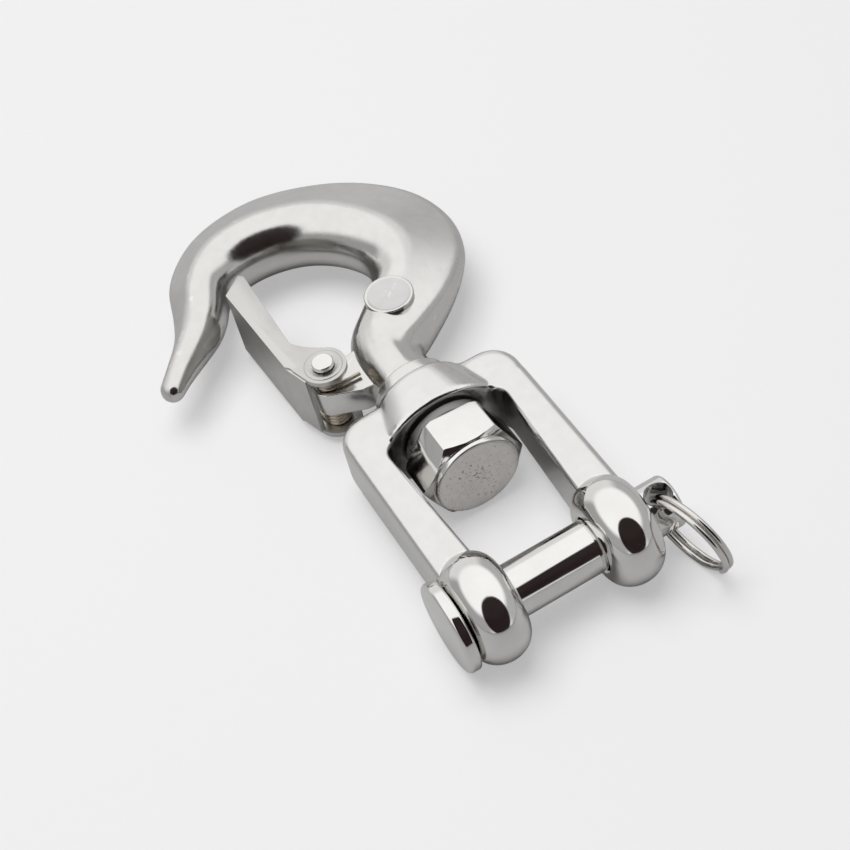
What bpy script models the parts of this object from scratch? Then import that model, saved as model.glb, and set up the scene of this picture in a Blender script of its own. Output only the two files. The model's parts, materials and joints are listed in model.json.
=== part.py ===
"""Swivel jaw hook with a spring latch, lying on its side.

The swivel axis runs along +X from the clevis pin to the hook, the clevis pin lies along Y with its
head at +Y, and +Z is up. Every dimension is first given from the middle of the clevis pin; at the end
the whole assembly is moved so that the middle of its underside is at the world origin.
"""

import math

import bmesh
import bpy
from mathutils import Matrix, Vector

MM = 0.001
GAP = 0.3 * MM

# Jaw: two round ears, two flat arms and a collar that holds the swivel bolt
EAR_RADIUS = 10.3 * MM
EAR_THICKNESS = 10.3 * MM
EAR_INSIDE = 8.45 * MM
EAR_FLAT_RADIUS = 6.1 * MM
EAR_MIDDLE = EAR_INSIDE + EAR_THICKNESS / 2
EAR_OUTSIDE = EAR_INSIDE + EAR_THICKNESS
ARM_HALF_HEIGHT = 6.1 * MM
ARM_OUTSIDE = 18.5 * MM
ARM_INSIDE_AT_EAR = 10.3 * MM
ARM_INSIDE_AT_COLLAR = 12.2 * MM
ARM_OUTER_EDGE = 2.0 * MM
ARM_INNER_EDGE = 0.8 * MM
SHOULDER_X = 46.2 * MM
SHOULDER_CORNER = 5.6 * MM
CROTCH_X = 37.0 * MM
CROTCH_CORNER = 3.0 * MM
COLLAR_NEAR_HALF_WIDTH = 13.4 * MM
COLLAR_HALF_HEIGHT = 10.25 * MM
COLLAR_FAR_RADIUS = 10.1 * MM
COLLAR_BEVEL = 1.1 * MM
COLLAR_LIP = 0.5 * MM
COLLAR_FAR_X = 46.6 * MM

# Clevis pin and its split ring
PIN_RADIUS = 5.0 * MM
PIN_HEAD_RADIUS = 8.6 * MM
PIN_HEAD_THICKNESS = 2.7 * MM
PIN_END_Y = -25.0 * MM
PIN_CHAMFER = 0.9 * MM
PIN_HEAD_EDGE = 0.3 * MM
CROSS_HOLE_Y = -21.9 * MM
CROSS_HOLE_RADIUS = 2.55 * MM
CROSS_HOLE_DIP = math.radians(80.0)
RING_RADIUS = 8.4 * MM
RING_WIRE = 1.1 * MM
RING_TURN_PITCH = 1.16 * MM
RING_TURNS = 1.96
RING_STEPS_IN_TURN = 36
RING_START = math.radians(35.0)
RING_CROSSOVER = 1 / 6
RING_SPLAY = math.radians(14.5)
RING_LEAN = math.radians(-7.5)
RING_CENTRE_REACH = RING_RADIUS - 0.8 * MM

# Swivel bolt and thrust washer
SHANK_RADIUS = 5.0 * MM
BOLT_FACE_X = 24.7 * MM
BOLT_FACE_RADIUS = 8.6 * MM
BOLT_FACE_STEP = 1.0 * MM
BOLT_FACE_EDGE = 0.4 * MM
HEX_ACROSS_FLATS = 18.2 * MM
HEX_BACK_X = 34.1 * MM
HEX_TURN = math.radians(4.0)
HEX_CHAMFER = math.radians(30.0)
HEX_CHAMFER_MARGIN = 0.2 * MM
BOLT_END_X = 60.0 * MM
BOLT_END_CHAMFER = 1.0 * MM
WASHER_RADIUS = 8.7 * MM
WASHER_THICKNESS = 2.0 * MM
WASHER_EDGE = 0.3 * MM

# Hook: flange, blind hole for the bolt, lug for the latch, round pad
FLANGE_RADIUS = 7.8 * MM
FLANGE_NEAR_X = COLLAR_FAR_X + 0.5 * MM
FLANGE_FAR_X = 50.3 * MM
FLANGE_EDGE = 0.6 * MM
NECK_RADIUS = 6.6 * MM
PAD_CENTRE = (68.5 * MM, -6.4 * MM)
PAD_RADIUS = 4.95 * MM
PAD_ROOT = 3.0 * MM
PAD_TOP = 7.0 * MM
LATCH_PIVOT = Vector((59.0 * MM, 12.8 * MM, 0.0))
LUG_RADIUS = 3.4 * MM
LUG_HALF_HEIGHT = 3.0 * MM
LUG_NECK_SIDE = ((53.0 * MM, 3.5 * MM), (53.4 * MM, 8.3 * MM))
LUG_BOWL_SIDE = (63.6 * MM, 4.0 * MM)

# Hook sections from flange to tip, in mm: inner edge x, y; outer edge x, y; half height of the round
# inner rim; plan radius of the rim; half height of the thin outer edge; plan radius of that edge
HOOK_SECTIONS = (
    (50.0, 6.6, 50.0, -6.6, 6.6, 6.6, 6.6, 6.6),
    (57.5, 6.8, 57.3, -6.3, 6.6, 6.5, 6.5, 6.5),
    (62.5, 6.2, 59.8, -10.0, 6.6, 7.0, 6.0, 5.0),
    (67.2, 4.2, 63.0, -14.8, 6.7, 7.2, 5.0, 4.0),
    (70.6, 0.7, 66.2, -19.0, 6.8, 7.4, 4.2, 3.4),
    (74.2, -3.2, 70.6, -23.4, 7.0, 7.5, 3.5, 3.0),
    (78.4, -6.9, 76.4, -27.2, 7.2, 7.5, 3.1, 2.8),
    (84.5, -7.7, 85.5, -29.0, 7.4, 7.5, 2.8, 2.6),
    (91.5, -4.1, 97.0, -26.0, 7.4, 7.5, 2.8, 2.6),
    (96.4, 1.8, 108.2, -16.2, 7.4, 7.5, 2.8, 2.6),
    (98.1, 8.6, 115.2, -2.5, 7.4, 7.4, 2.8, 2.6),
    (97.6, 14.0, 116.2, 8.5, 7.4, 7.2, 2.8, 2.6),
    (95.2, 18.2, 113.0, 19.3, 7.2, 6.9, 2.7, 2.5),
    (91.0, 20.6, 105.0, 27.5, 6.8, 6.2, 2.6, 2.4),
    (87.0, 23.8, 96.5, 30.4, 5.8, 4.9, 2.5, 2.3),
    (83.4, 28.6, 90.0, 32.9, 4.5, 3.7, 2.5, 2.3),
    (80.0, 33.4, 85.0, 36.7, 3.4, 3.0, 2.5, 2.5),
    (77.2, 36.6, 80.8, 40.1, 2.5, 2.5, 2.5, 2.5),
)
SECTION_STEPS = 3
SECTION_RIM_POINTS = 6
SECTION_EDGE_POINTS = 4
LARGEST_TAPER = math.radians(40.0)
SHORTEST_FLANK = 0.1 * MM
TIP_LENGTH = 2.4 * MM
TIP_ANGLES = (math.radians(25.0), math.radians(50.0), math.radians(70.0))

# Latch: pressed channel, rivet and double torsion spring
SHEET = 1.1 * MM
LATCH_HALF_HEIGHT = 8.15 * MM
LATCH_EAR_RADIUS = 4.5 * MM
LATCH_TIP_INNER = (89.9 * MM, 15.1 * MM)
LATCH_TIP_CORNER = (90.8 * MM, 16.0 * MM)
LATCH_TIP_OUTER = (87.4 * MM, 20.3 * MM)
LATCH_HEEL = (63.2 * MM, 19.1 * MM)
LATCH_NOTCH = ((62.3 * MM, 18.4 * MM), (60.7 * MM, 18.0 * MM))
LATCH_TAB_END = (57.7 * MM, 17.5 * MM)
LATCH_WAIST = (68.1 * MM, 15.5 * MM)
LATCH_THROAT = (64.9 * MM, 13.9 * MM)
RIVET_RADIUS = 1.5 * MM
RIVET_HEAD_RADIUS = 2.15 * MM
RIVET_HEAD_THICKNESS = 0.9 * MM
RIVET_HEAD_EDGE = 0.25 * MM
SPRING_WIRE = 0.8 * MM
SPRING_COIL_RADIUS = 2.35 * MM
SPRING_TURNS = 3
SPRING_PITCH = 0.85 * MM
SPRING_INNER_Z = LUG_HALF_HEIGHT + GAP + 0.5 * MM
SPRING_STEPS_IN_TURN = 18
SPRING_FOOT_Y = 7.0 * MM
SPRING_REACH = (75.0 * MM, 17.5 * MM)
SPRING_LEG_END_X = 71.0 * MM
SPRING_BEND = 1.2 * MM

# Roundness of the turned and bent shapes
TURNED_SEGMENTS = 48
SMALL_SEGMENTS = 24
WIRE_SIDES = 2
ARC_STEP = math.radians(7.5)
COARSE_ARC_STEP = math.radians(15.0)
ARM_EDGE_SEGMENTS = 3
SHARP_ANGLE = math.radians(35.0)
CUTTER_REACH = 2.0 * MM
WELD_DISTANCE = 0.001 * MM


def clear_scene():
    """Start from an empty scene."""
    for existing in list(bpy.data.objects):
        bpy.data.objects.remove(existing, do_unlink=True)


def finish(name, colour, roughness):
    """A metal material."""
    material = bpy.data.materials.new(name)
    material.use_nodes = True
    shader = material.node_tree.nodes["Principled BSDF"]
    shader.inputs["Base Color"].default_value = (*colour, 1.0)
    shader.inputs["Roughness"].default_value = roughness
    shader.inputs["Metallic"].default_value = 1.0
    return material


def add_object(name, bm, origin=Vector((0.0, 0.0, 0.0)), material=None):
    """Turn a bmesh in assembly coordinates into an object whose origin is at the given point."""
    bmesh.ops.recalc_face_normals(bm, faces=bm.faces)
    bmesh.ops.translate(bm, verts=bm.verts, vec=-Vector(origin))
    mesh = bpy.data.meshes.new(name)
    bm.to_mesh(mesh)
    bm.free()
    mesh.shade_smooth()
    mesh.set_sharp_from_angle(angle=SHARP_ANGLE)
    piece = bpy.data.objects.new(name, mesh)
    piece.location = origin
    bpy.context.scene.collection.objects.link(piece)
    if material:
        mesh.materials.append(material)
    return piece


def combine(piece, helper, operation):
    """Join a helper shape to a piece or cut it away; the helper itself is never rendered."""
    helper.hide_render = True
    helper.display_type = "WIRE"
    boolean = piece.modifiers.new(f"{operation.lower()}_{helper.name}", "BOOLEAN")
    boolean.operation = operation
    boolean.solver = "EXACT"
    boolean.object = helper


def weigh_level_edges(bm, share_at):
    """Give every level edge of a plate its share of the bevel, from the middle of the edge."""
    weights = bm.edges.layers.float.new("bevel_weight_edge")
    for edge in bm.edges:
        first, second = edge.verts
        if abs(first.co.z - second.co.z) < WELD_DISTANCE:
            edge[weights] = share_at((first.co + second.co) / 2)


def round_edges(piece, width, segments):
    """Round the weighted edges of a piece."""
    bevel = piece.modifiers.new("rounded_edges", "BEVEL")
    bevel.width = width
    bevel.segments = segments
    bevel.limit_method = "WEIGHT"


def arc(centre, radius, start, end, step=ARC_STEP):
    """Points of an arc in a plane, from one angle to the other."""
    count = max(2, math.ceil(abs(end - start) / step))
    angles = [start + (end - start) * index / count for index in range(count + 1)]
    return [(centre[0] + radius * math.cos(a), centre[1] + radius * math.sin(a)) for a in angles]


def turned(profile, axis, segments=TURNED_SEGMENTS):
    """Spin a closed profile of (along, radius) points round the X, Y or Z axis through the origin."""
    bm = bmesh.new()
    frames = {
        "X": lambda along, radius: Vector((along, 0.0, radius)),
        "Y": lambda along, radius: Vector((0.0, along, radius)),
        "Z": lambda along, radius: Vector((radius, 0.0, along)),
    }
    verts = [bm.verts.new(frames[axis](along, radius)) for along, radius in profile]
    edges = [bm.edges.new(pair) for pair in zip(verts, verts[1:])]
    if profile[0][1] > 0.0 and profile[-1][1] > 0.0:
        edges.append(bm.edges.new((verts[-1], verts[0])))
    bmesh.ops.spin(
        bm,
        geom=verts + edges,
        cent=(0.0, 0.0, 0.0),
        axis=Matrix.Identity(3)["XYZ".index(axis)],
        angle=math.tau,
        steps=segments,
        use_merge=True,
    )
    bmesh.ops.remove_doubles(bm, verts=bm.verts, dist=WELD_DISTANCE)
    return bm


def plate(outline, low, high):
    """Extrude a plan outline from one height to another."""
    bm = bmesh.new()
    face = bm.faces.new([bm.verts.new((x, y, low)) for x, y in outline])
    lifted = bmesh.ops.extrude_face_region(bm, geom=[face])
    top = [item for item in lifted["geom"] if isinstance(item, bmesh.types.BMVert)]
    bmesh.ops.translate(bm, verts=top, vec=(0.0, 0.0, high - low))
    return bm


def lofted(rings):
    """Bridge closed rings of points into a tube with filled ends."""
    bm = bmesh.new()
    previous = None
    for ring in rings:
        verts = [bm.verts.new(point) for point in ring]
        edges = [bm.edges.new((verts[i - 1], verts[i])) for i in range(len(verts))]
        if previous:
            bmesh.ops.bridge_loops(bm, edges=previous + edges)
        else:
            bm.faces.new(verts)
        previous = edges
    bm.faces.new(verts)
    return bm


def wire(name, points, diameter, origin, material):
    """A bent wire through the points, with filled ends, turned into a mesh."""
    curve = bpy.data.curves.new(name, "CURVE")
    curve.dimensions = "3D"
    curve.bevel_depth = diameter / 2
    curve.bevel_resolution = WIRE_SIDES
    curve.use_fill_caps = True
    spline = curve.splines.new("POLY")
    spline.points.add(len(points) - 1)
    for point, place in zip(spline.points, points):
        point.co = (*(place - origin), 1.0)
    guide = bpy.data.objects.new(f"{name}_path", curve)
    bpy.context.scene.collection.objects.link(guide)
    shape = guide.to_mesh()
    bm = bmesh.new()
    bm.from_mesh(shape)
    guide.to_mesh_clear()
    bpy.data.objects.remove(guide, do_unlink=True)
    bmesh.ops.translate(bm, verts=bm.verts, vec=origin)
    bmesh.ops.remove_doubles(bm, verts=bm.verts, dist=WELD_DISTANCE)
    return add_object(name, bm, origin, material)


def cylinder(name, radius, start, end, segments=SMALL_SEGMENTS):
    """A plain round bar between two points, used as a cutter or a boss."""
    start = Vector(start)
    end = Vector(end)
    bm = bmesh.new()
    bmesh.ops.create_cone(
        bm,
        cap_ends=True,
        segments=segments,
        radius1=radius,
        radius2=radius,
        depth=(end - start).length,
    )
    turn = (end - start).to_track_quat("Z", "X").to_matrix().to_4x4()
    bmesh.ops.transform(bm, matrix=Matrix.Translation((start + end) / 2) @ turn, verts=bm.verts)
    return add_object(name, bm)


def make_jaw(material):
    """The fork: arms and shoulders from one outline, with collar and ears joined on and the bores cut."""
    outer_corner = (SHOULDER_X - SHOULDER_CORNER, ARM_OUTSIDE - SHOULDER_CORNER)
    inner_corner = (CROTCH_X - CROTCH_CORNER, ARM_INSIDE_AT_COLLAR - CROTCH_CORNER)
    left_side = [(0.0, ARM_INSIDE_AT_EAR), (0.0, ARM_OUTSIDE)]
    left_side += arc(outer_corner, SHOULDER_CORNER, math.radians(90), 0.0)
    right_side = [(x, -y) for x, y in reversed(left_side)]
    crotch = arc(inner_corner, CROTCH_CORNER, 0.0, math.radians(90))
    right_crotch = [(x, -y) for x, y in reversed(crotch)]
    outline = left_side + right_side + right_crotch + crotch
    bm = plate(outline, -ARM_HALF_HEIGHT, ARM_HALF_HEIGHT)
    inner_share = ARM_INNER_EDGE / ARM_OUTER_EDGE
    weigh_level_edges(bm, lambda middle: inner_share if on_inner_side(middle) else 1.0)
    jaw = add_object("jaw", bm, material=material)
    round_edges(jaw, ARM_OUTER_EDGE, ARM_EDGE_SEGMENTS)
    combine(jaw, add_object("collar_shape", lofted(collar_rings())), "UNION")
    for side in (1.0, -1.0):
        name = "left" if side > 0 else "right"
        combine(jaw, add_object(f"{name}_ear_shape", turned(ear_profile(side), "Y")), "UNION")
    reach = EAR_OUTSIDE + CUTTER_REACH
    pin_bore = cylinder("pin_bore", PIN_RADIUS + GAP, (0, -reach, 0), (0, reach, 0), TURNED_SEGMENTS)
    combine(jaw, pin_bore, "DIFFERENCE")
    bolt_bore = cylinder(
        "bolt_bore",
        SHANK_RADIUS + GAP,
        (CROTCH_X - CUTTER_REACH, 0, 0),
        (COLLAR_FAR_X + CUTTER_REACH, 0, 0),
        TURNED_SEGMENTS,
    )
    combine(jaw, bolt_bore, "DIFFERENCE")
    return jaw


def on_inner_side(point):
    """Whether a point of the yoke's outline faces the opening between the arms."""
    inside_arms = abs(point.y) < (ARM_INSIDE_AT_COLLAR + ARM_OUTSIDE) / 2
    return inside_arms and point.x < (CROTCH_X + SHOULDER_X) / 2


def collar_rings():
    """Collar sections from the oval mouth between the arms to the round bevelled far end."""
    width = COLLAR_NEAR_HALF_WIDTH
    height = COLLAR_HALF_HEIGHT
    far = COLLAR_FAR_RADIUS
    sizes = (
        (CROTCH_X, width - COLLAR_LIP, height - COLLAR_LIP),
        (CROTCH_X + COLLAR_LIP, width, height),
        (COLLAR_FAR_X - COLLAR_BEVEL, far + COLLAR_LIP, far),
        (COLLAR_FAR_X, far + COLLAR_LIP - COLLAR_BEVEL, far - COLLAR_BEVEL),
    )
    angles = [math.tau * index / TURNED_SEGMENTS for index in range(TURNED_SEGMENTS)]
    return [[Vector((x, half_width * math.cos(a), half_height * math.sin(a))) for a in angles]
            for x, half_width, half_height in sizes]


def ear_profile(side):
    """Half round rim of an ear, flat round the bore on both faces."""
    rim_depth = EAR_RADIUS - EAR_FLAT_RADIUS
    half = EAR_THICKNESS / 2
    points = [(side * EAR_MIDDLE - half, PIN_RADIUS)]
    for x, y in arc((0.0, 0.0), 1.0, math.pi, 0.0, COARSE_ARC_STEP):
        points.append((side * EAR_MIDDLE + half * x, EAR_FLAT_RADIUS + rim_depth * y))
    points.append((side * EAR_MIDDLE + half, PIN_RADIUS))
    return points


def make_clevis_pin(material):
    """Headed pin with a chamfered end and a cross hole for the ring."""
    head_near = EAR_OUTSIDE + GAP
    head_far = head_near + PIN_HEAD_THICKNESS
    profile = [
        (PIN_END_Y, 0.0),
        (PIN_END_Y, PIN_RADIUS - PIN_CHAMFER),
        (PIN_END_Y + PIN_CHAMFER, PIN_RADIUS),
        (head_near, PIN_RADIUS),
        (head_near, PIN_HEAD_RADIUS - PIN_HEAD_EDGE),
        (head_near + PIN_HEAD_EDGE, PIN_HEAD_RADIUS),
        (head_far - PIN_CHAMFER, PIN_HEAD_RADIUS),
        (head_far, PIN_HEAD_RADIUS - PIN_CHAMFER),
        (head_far, 0.0),
    ]
    pin = add_object("clevis_pin", turned(profile, "Y"), material=material)
    centre = Vector((0.0, CROSS_HOLE_Y, 0.0))
    reach = cross_hole_axis() * (PIN_RADIUS + CUTTER_REACH)
    combine(pin, cylinder("cross_hole", CROSS_HOLE_RADIUS, centre - reach, centre + reach), "DIFFERENCE")
    return pin


def cross_hole_axis():
    """Direction of the hole through the end of the clevis pin."""
    return Vector((math.cos(CROSS_HOLE_DIP), 0.0, -math.sin(CROSS_HOLE_DIP)))


def make_split_ring(material):
    """Flat double coil of wire, threaded through the cross hole, splayed past the pin's end and leaning."""
    hole = cross_hole_axis()
    across = Vector((-math.sin(CROSS_HOLE_DIP), 0.0, -math.cos(CROSS_HOLE_DIP)))
    outward = across * math.cos(RING_SPLAY) - Vector((0.0, 1.0, 0.0)) * math.sin(RING_SPLAY)
    upright = hole * math.cos(RING_LEAN) + hole.cross(outward) * math.sin(RING_LEAN)
    normal = upright.cross(outward)
    origin = Vector((0.0, CROSS_HOLE_Y, 0.0))
    centre = origin + outward * RING_CENTRE_REACH
    steps = round(RING_TURNS * RING_STEPS_IN_TURN)
    points = []
    for index in range(steps + 1):
        turn = RING_TURNS * index / steps
        angle = math.tau * (turn - RING_TURNS / 2) + RING_START
        radial = outward * math.cos(angle) + upright * math.sin(angle)
        shift = min(max((turn - RING_TURNS / 2) / RING_CROSSOVER, -0.5), 0.5)
        points.append(centre + radial * RING_RADIUS + normal * RING_TURN_PITCH * shift)
    return wire("split_ring", points, RING_WIRE, origin, material)


def make_swivel_bolt(material):
    """Hexagon head with a chamfered face and a low round step, and the shank that screws into the hook."""
    corner_radius = HEX_ACROSS_FLATS / 2 / math.cos(math.radians(30))
    front = BOLT_FACE_X + BOLT_FACE_STEP
    bolt = cylinder("swivel_bolt", corner_radius, (front, 0, 0), (HEX_BACK_X, 0, 0), 6)
    bolt.data.materials.append(material)
    bolt.data.transform(Matrix.Rotation(HEX_TURN, 4, "X"))
    chamfer_rise = (corner_radius - BOLT_FACE_RADIUS) * math.tan(HEX_CHAMFER)
    chamfer = [
        (front, 0.0),
        (front, BOLT_FACE_RADIUS + HEX_CHAMFER_MARGIN),
        (front + chamfer_rise, corner_radius + HEX_CHAMFER_MARGIN),
        (HEX_BACK_X + CUTTER_REACH, corner_radius + HEX_CHAMFER_MARGIN),
        (HEX_BACK_X + CUTTER_REACH, 0.0),
    ]
    combine(bolt, add_object("hex_chamfer", turned(chamfer, "X")), "INTERSECT")
    step_and_shank = [
        (BOLT_FACE_X, 0.0),
        (BOLT_FACE_X, BOLT_FACE_RADIUS - BOLT_FACE_EDGE),
        (BOLT_FACE_X + BOLT_FACE_EDGE, BOLT_FACE_RADIUS),
        (front + BOLT_FACE_STEP, BOLT_FACE_RADIUS),
        (front + BOLT_FACE_STEP, SHANK_RADIUS),
        (BOLT_END_X - BOLT_END_CHAMFER, SHANK_RADIUS),
        (BOLT_END_X, SHANK_RADIUS - BOLT_END_CHAMFER),
        (BOLT_END_X, 0.0),
    ]
    combine(bolt, add_object("bolt_shank", turned(step_and_shank, "X")), "UNION")
    return bolt


def make_thrust_washer(material):
    """Flat ring between the bolt head and the collar."""
    near = HEX_BACK_X + GAP
    far = near + WASHER_THICKNESS
    profile = [
        (near, SHANK_RADIUS + GAP),
        (near, WASHER_RADIUS - WASHER_EDGE),
        (near + WASHER_EDGE, WASHER_RADIUS),
        (far - WASHER_EDGE, WASHER_RADIUS),
        (far, WASHER_RADIUS - WASHER_EDGE),
        (far, SHANK_RADIUS + GAP),
    ]
    return add_object("thrust_washer", turned(profile, "X"), material=material)


def curve_through(rows, steps):
    """Catmull-Rom rows between the given rows, ends included."""
    last = len(rows) - 1
    smooth = []
    for index in range(last):
        before = rows[max(index - 1, 0)]
        start = rows[index]
        end = rows[index + 1]
        after = rows[min(index + 2, last)]
        for step in range(steps):
            t = step / steps
            smooth.append([
                0.5 * (2 * b + (c - a) * t + (2 * a - 5 * b + 4 * c - d) * t * t
                       + (3 * b - a - 3 * c + d) * t ** 3)
                for a, b, c, d in zip(before, start, end, after)
            ])
    smooth.append(list(rows[last]))
    return smooth


def half_section(width, rim_height, rim_radius, edge_height, edge_radius):
    """Upper half of a hook section, from inner to outer edge: round rim, straight taper, round edge."""
    flank_length = max(width - rim_radius - edge_radius, SHORTEST_FLANK)
    taper = min(math.atan2(rim_height - edge_height, flank_length), LARGEST_TAPER)
    points = []
    for index in range(SECTION_RIM_POINTS):
        angle = (math.pi / 2 + taper) * index / (SECTION_RIM_POINTS - 1)
        points.append((rim_radius * (1 - math.cos(angle)), rim_height * math.sin(angle)))
    for index in range(1, SECTION_EDGE_POINTS + 1):
        angle = taper + (math.pi / 2 - taper) * index / SECTION_EDGE_POINTS
        reach = edge_radius * math.sin(angle)
        points.append((width - edge_radius + reach, edge_height * math.cos(angle)))
    return points


def section_ring(row, shrink=1.0, advance=Vector((0.0, 0.0, 0.0))):
    """One closed hook section in space; shrink and advance make the rings of the rounded tip."""
    values = [value * MM for value in row]
    inner = Vector((values[0], values[1], 0.0))
    outer = Vector((values[2], values[3], 0.0))
    across = (outer - inner).normalized()
    width = (outer - inner).length
    upper = half_section(width, *values[4:])
    lower = [(along, -height) for along, height in reversed(upper[1:-1])]
    middle = (inner + outer) / 2
    ring = []
    for along, height in upper + lower:
        point = inner + across * along + Vector((0.0, 0.0, height))
        ring.append(middle + (point - middle) * shrink + advance)
    return ring


def hook_rings():
    """All sections of the hook from the neck to the rounded tip."""
    rows = curve_through(HOOK_SECTIONS, SECTION_STEPS)
    rings = [section_ring(row) for row in rows]
    tip = rows[-1]
    across = Vector((tip[2] - tip[0], tip[3] - tip[1], 0.0)).normalized()
    forward = Vector((-across.y, across.x, 0.0))
    for angle in TIP_ANGLES:
        rings.append(section_ring(tip, math.cos(angle), forward * TIP_LENGTH * math.sin(angle)))
    return rings


def lug_outline():
    """Plan of the lug: a round barrel about the latch pivot that runs back into the neck."""
    pivot = (LATCH_PIVOT.x, LATCH_PIVOT.y)
    barrel = arc(pivot, LUG_RADIUS, math.radians(145), math.radians(-25), COARSE_ARC_STEP)
    return [*LUG_NECK_SIDE, *barrel, LUG_BOWL_SIDE]


def make_hook_body(material):
    """Cast hook with its neck, flange, round pad, latch lug and the blind hole for the bolt."""
    hook = add_object("hook_body", lofted(hook_rings()), material=material)
    flange = [
        (FLANGE_NEAR_X, 0.0),
        (FLANGE_NEAR_X, FLANGE_RADIUS - FLANGE_EDGE),
        (FLANGE_NEAR_X + FLANGE_EDGE, FLANGE_RADIUS),
        (FLANGE_FAR_X - FLANGE_EDGE, FLANGE_RADIUS),
        (FLANGE_FAR_X, FLANGE_RADIUS - FLANGE_EDGE),
        (FLANGE_FAR_X + FLANGE_EDGE, NECK_RADIUS - FLANGE_EDGE),
        (FLANGE_FAR_X + FLANGE_EDGE, 0.0),
    ]
    combine(hook, add_object("flange_shape", turned(flange, "X")), "UNION")
    lug = add_object("lug_shape", plate(lug_outline(), -LUG_HALF_HEIGHT, LUG_HALF_HEIGHT))
    combine(hook, lug, "UNION")
    pad = cylinder("pad_shape", PAD_RADIUS, (*PAD_CENTRE, PAD_ROOT), (*PAD_CENTRE, PAD_TOP))
    combine(hook, pad, "UNION")
    bolt_hole = cylinder(
        "bolt_hole",
        SHANK_RADIUS + GAP,
        (FLANGE_NEAR_X - CUTTER_REACH, 0, 0),
        (BOLT_END_X + GAP, 0, 0),
        TURNED_SEGMENTS,
    )
    combine(hook, bolt_hole, "DIFFERENCE")
    reach = Vector((0.0, 0.0, LUG_HALF_HEIGHT + CUTTER_REACH))
    pivot_hole = cylinder("lug_hole", RIVET_RADIUS + GAP, LATCH_PIVOT - reach, LATCH_PIVOT + reach)
    combine(hook, pivot_hole, "DIFFERENCE")
    return hook


def cheek_outline():
    """Plan of one latch cheek: a straight strip that swings round into the pivot ear."""
    pivot = (LATCH_PIVOT.x, LATCH_PIVOT.y)
    ear = arc(pivot, LATCH_EAR_RADIUS, math.radians(105), math.radians(330), COARSE_ARC_STEP)
    strip = [LATCH_TIP_INNER, LATCH_TIP_CORNER, LATCH_TIP_OUTER, LATCH_HEEL, *LATCH_NOTCH]
    return [*strip, *ear, LATCH_THROAT, LATCH_WAIST]


def web_outline():
    """Plan of the channel's web: the outer edge, bent in at the heel, one sheet thick."""
    inset = Vector((0.0, -SHEET))
    tip = Vector(LATCH_TIP_OUTER)
    heel = Vector(LATCH_HEEL)
    tab = Vector(LATCH_TAB_END)
    along_tab = (tab - heel).normalized()
    inward = Vector((-along_tab.y, along_tab.x))
    return [tip, heel, tab, tab + inward * SHEET, heel + inset, tip + inset]


def make_latch(material):
    """Pressed channel: two cheeks with pivot ears, joined by a web along their outer edge."""
    web_half_height = LATCH_HALF_HEIGHT - SHEET / 2
    web = plate(web_outline(), -web_half_height, web_half_height)
    latch = add_object("latch", web, LATCH_PIVOT, material)
    for side in (1.0, -1.0):
        low, high = sorted((side * LATCH_HALF_HEIGHT, side * (LATCH_HALF_HEIGHT - SHEET)))
        name = "upper" if side > 0 else "lower"
        combine(latch, add_object(f"{name}_cheek_shape", plate(cheek_outline(), low, high)), "UNION")
    reach = Vector((0.0, 0.0, LATCH_HALF_HEIGHT + CUTTER_REACH))
    hole = cylinder("latch_holes", RIVET_RADIUS + GAP, LATCH_PIVOT - reach, LATCH_PIVOT + reach)
    combine(latch, hole, "DIFFERENCE")
    return latch


def make_latch_rivet(material):
    """Pin through the latch ears and the lug, with a low head at each end."""
    head_near = LATCH_HALF_HEIGHT + GAP
    head_far = head_near + RIVET_HEAD_THICKNESS
    upper = [
        (head_near, RIVET_RADIUS),
        (head_near, RIVET_HEAD_RADIUS),
        (head_far - RIVET_HEAD_EDGE, RIVET_HEAD_RADIUS),
        (head_far, RIVET_HEAD_RADIUS - RIVET_HEAD_EDGE),
        (head_far, 0.0),
    ]
    lower = [(-along, radius) for along, radius in reversed(upper)]
    bm = turned(lower + upper, "Z", SMALL_SEGMENTS)
    bmesh.ops.translate(bm, verts=bm.verts, vec=LATCH_PIVOT)
    return add_object("latch_rivet", bm, LATCH_PIVOT, material)


def make_latch_spring(material):
    """Double torsion spring: a leg on the neck, a coil each side of the lug and a bridge on the web."""
    upper = [Vector((LATCH_PIVOT.x - SPRING_COIL_RADIUS, SPRING_FOOT_Y, SPRING_INNER_Z))]
    sweep = math.tau * SPRING_TURNS + math.pi / 2
    steps = SPRING_STEPS_IN_TURN * SPRING_TURNS
    for index in range(steps + 1):
        share = index / steps
        angle = math.pi - sweep * share
        upper.append(LATCH_PIVOT + Vector((
            SPRING_COIL_RADIUS * math.cos(angle),
            SPRING_COIL_RADIUS * math.sin(angle),
            SPRING_INNER_Z + SPRING_PITCH * sweep / math.tau * share,
        )))
    outer_z = upper[-1].z
    reach_x, web_y = SPRING_REACH
    upper.append(Vector((SPRING_LEG_END_X, web_y, outer_z)))
    for degrees in (0, 30, 60, 90):
        angle = math.radians(degrees)
        upper.append(Vector((
            reach_x - SPRING_BEND * (1 - math.sin(angle)),
            web_y,
            outer_z - SPRING_BEND * (1 - math.cos(angle)),
        )))
    lower = [Vector((point.x, point.y, -point.z)) for point in reversed(upper)]
    return wire("latch_spring", upper + lower, SPRING_WIRE, LATCH_PIVOT, material)


def rest_on_origin(pieces):
    """Move the assembly so that the middle of its underside is at the world origin."""
    bpy.context.view_layer.update()
    graph = bpy.context.evaluated_depsgraph_get()
    corners = []
    for piece in pieces:
        shape = piece.evaluated_get(graph)
        corners += [shape.matrix_world @ vertex.co for vertex in shape.data.vertices]
    lows = [min(corner[axis] for corner in corners) for axis in range(3)]
    highs = [max(corner[axis] for corner in corners) for axis in range(3)]
    shift = Vector((-(lows[0] + highs[0]) / 2, -(lows[1] + highs[1]) / 2, -lows[2]))
    for item in bpy.context.scene.objects:
        item.location += shift
    return shift


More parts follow.
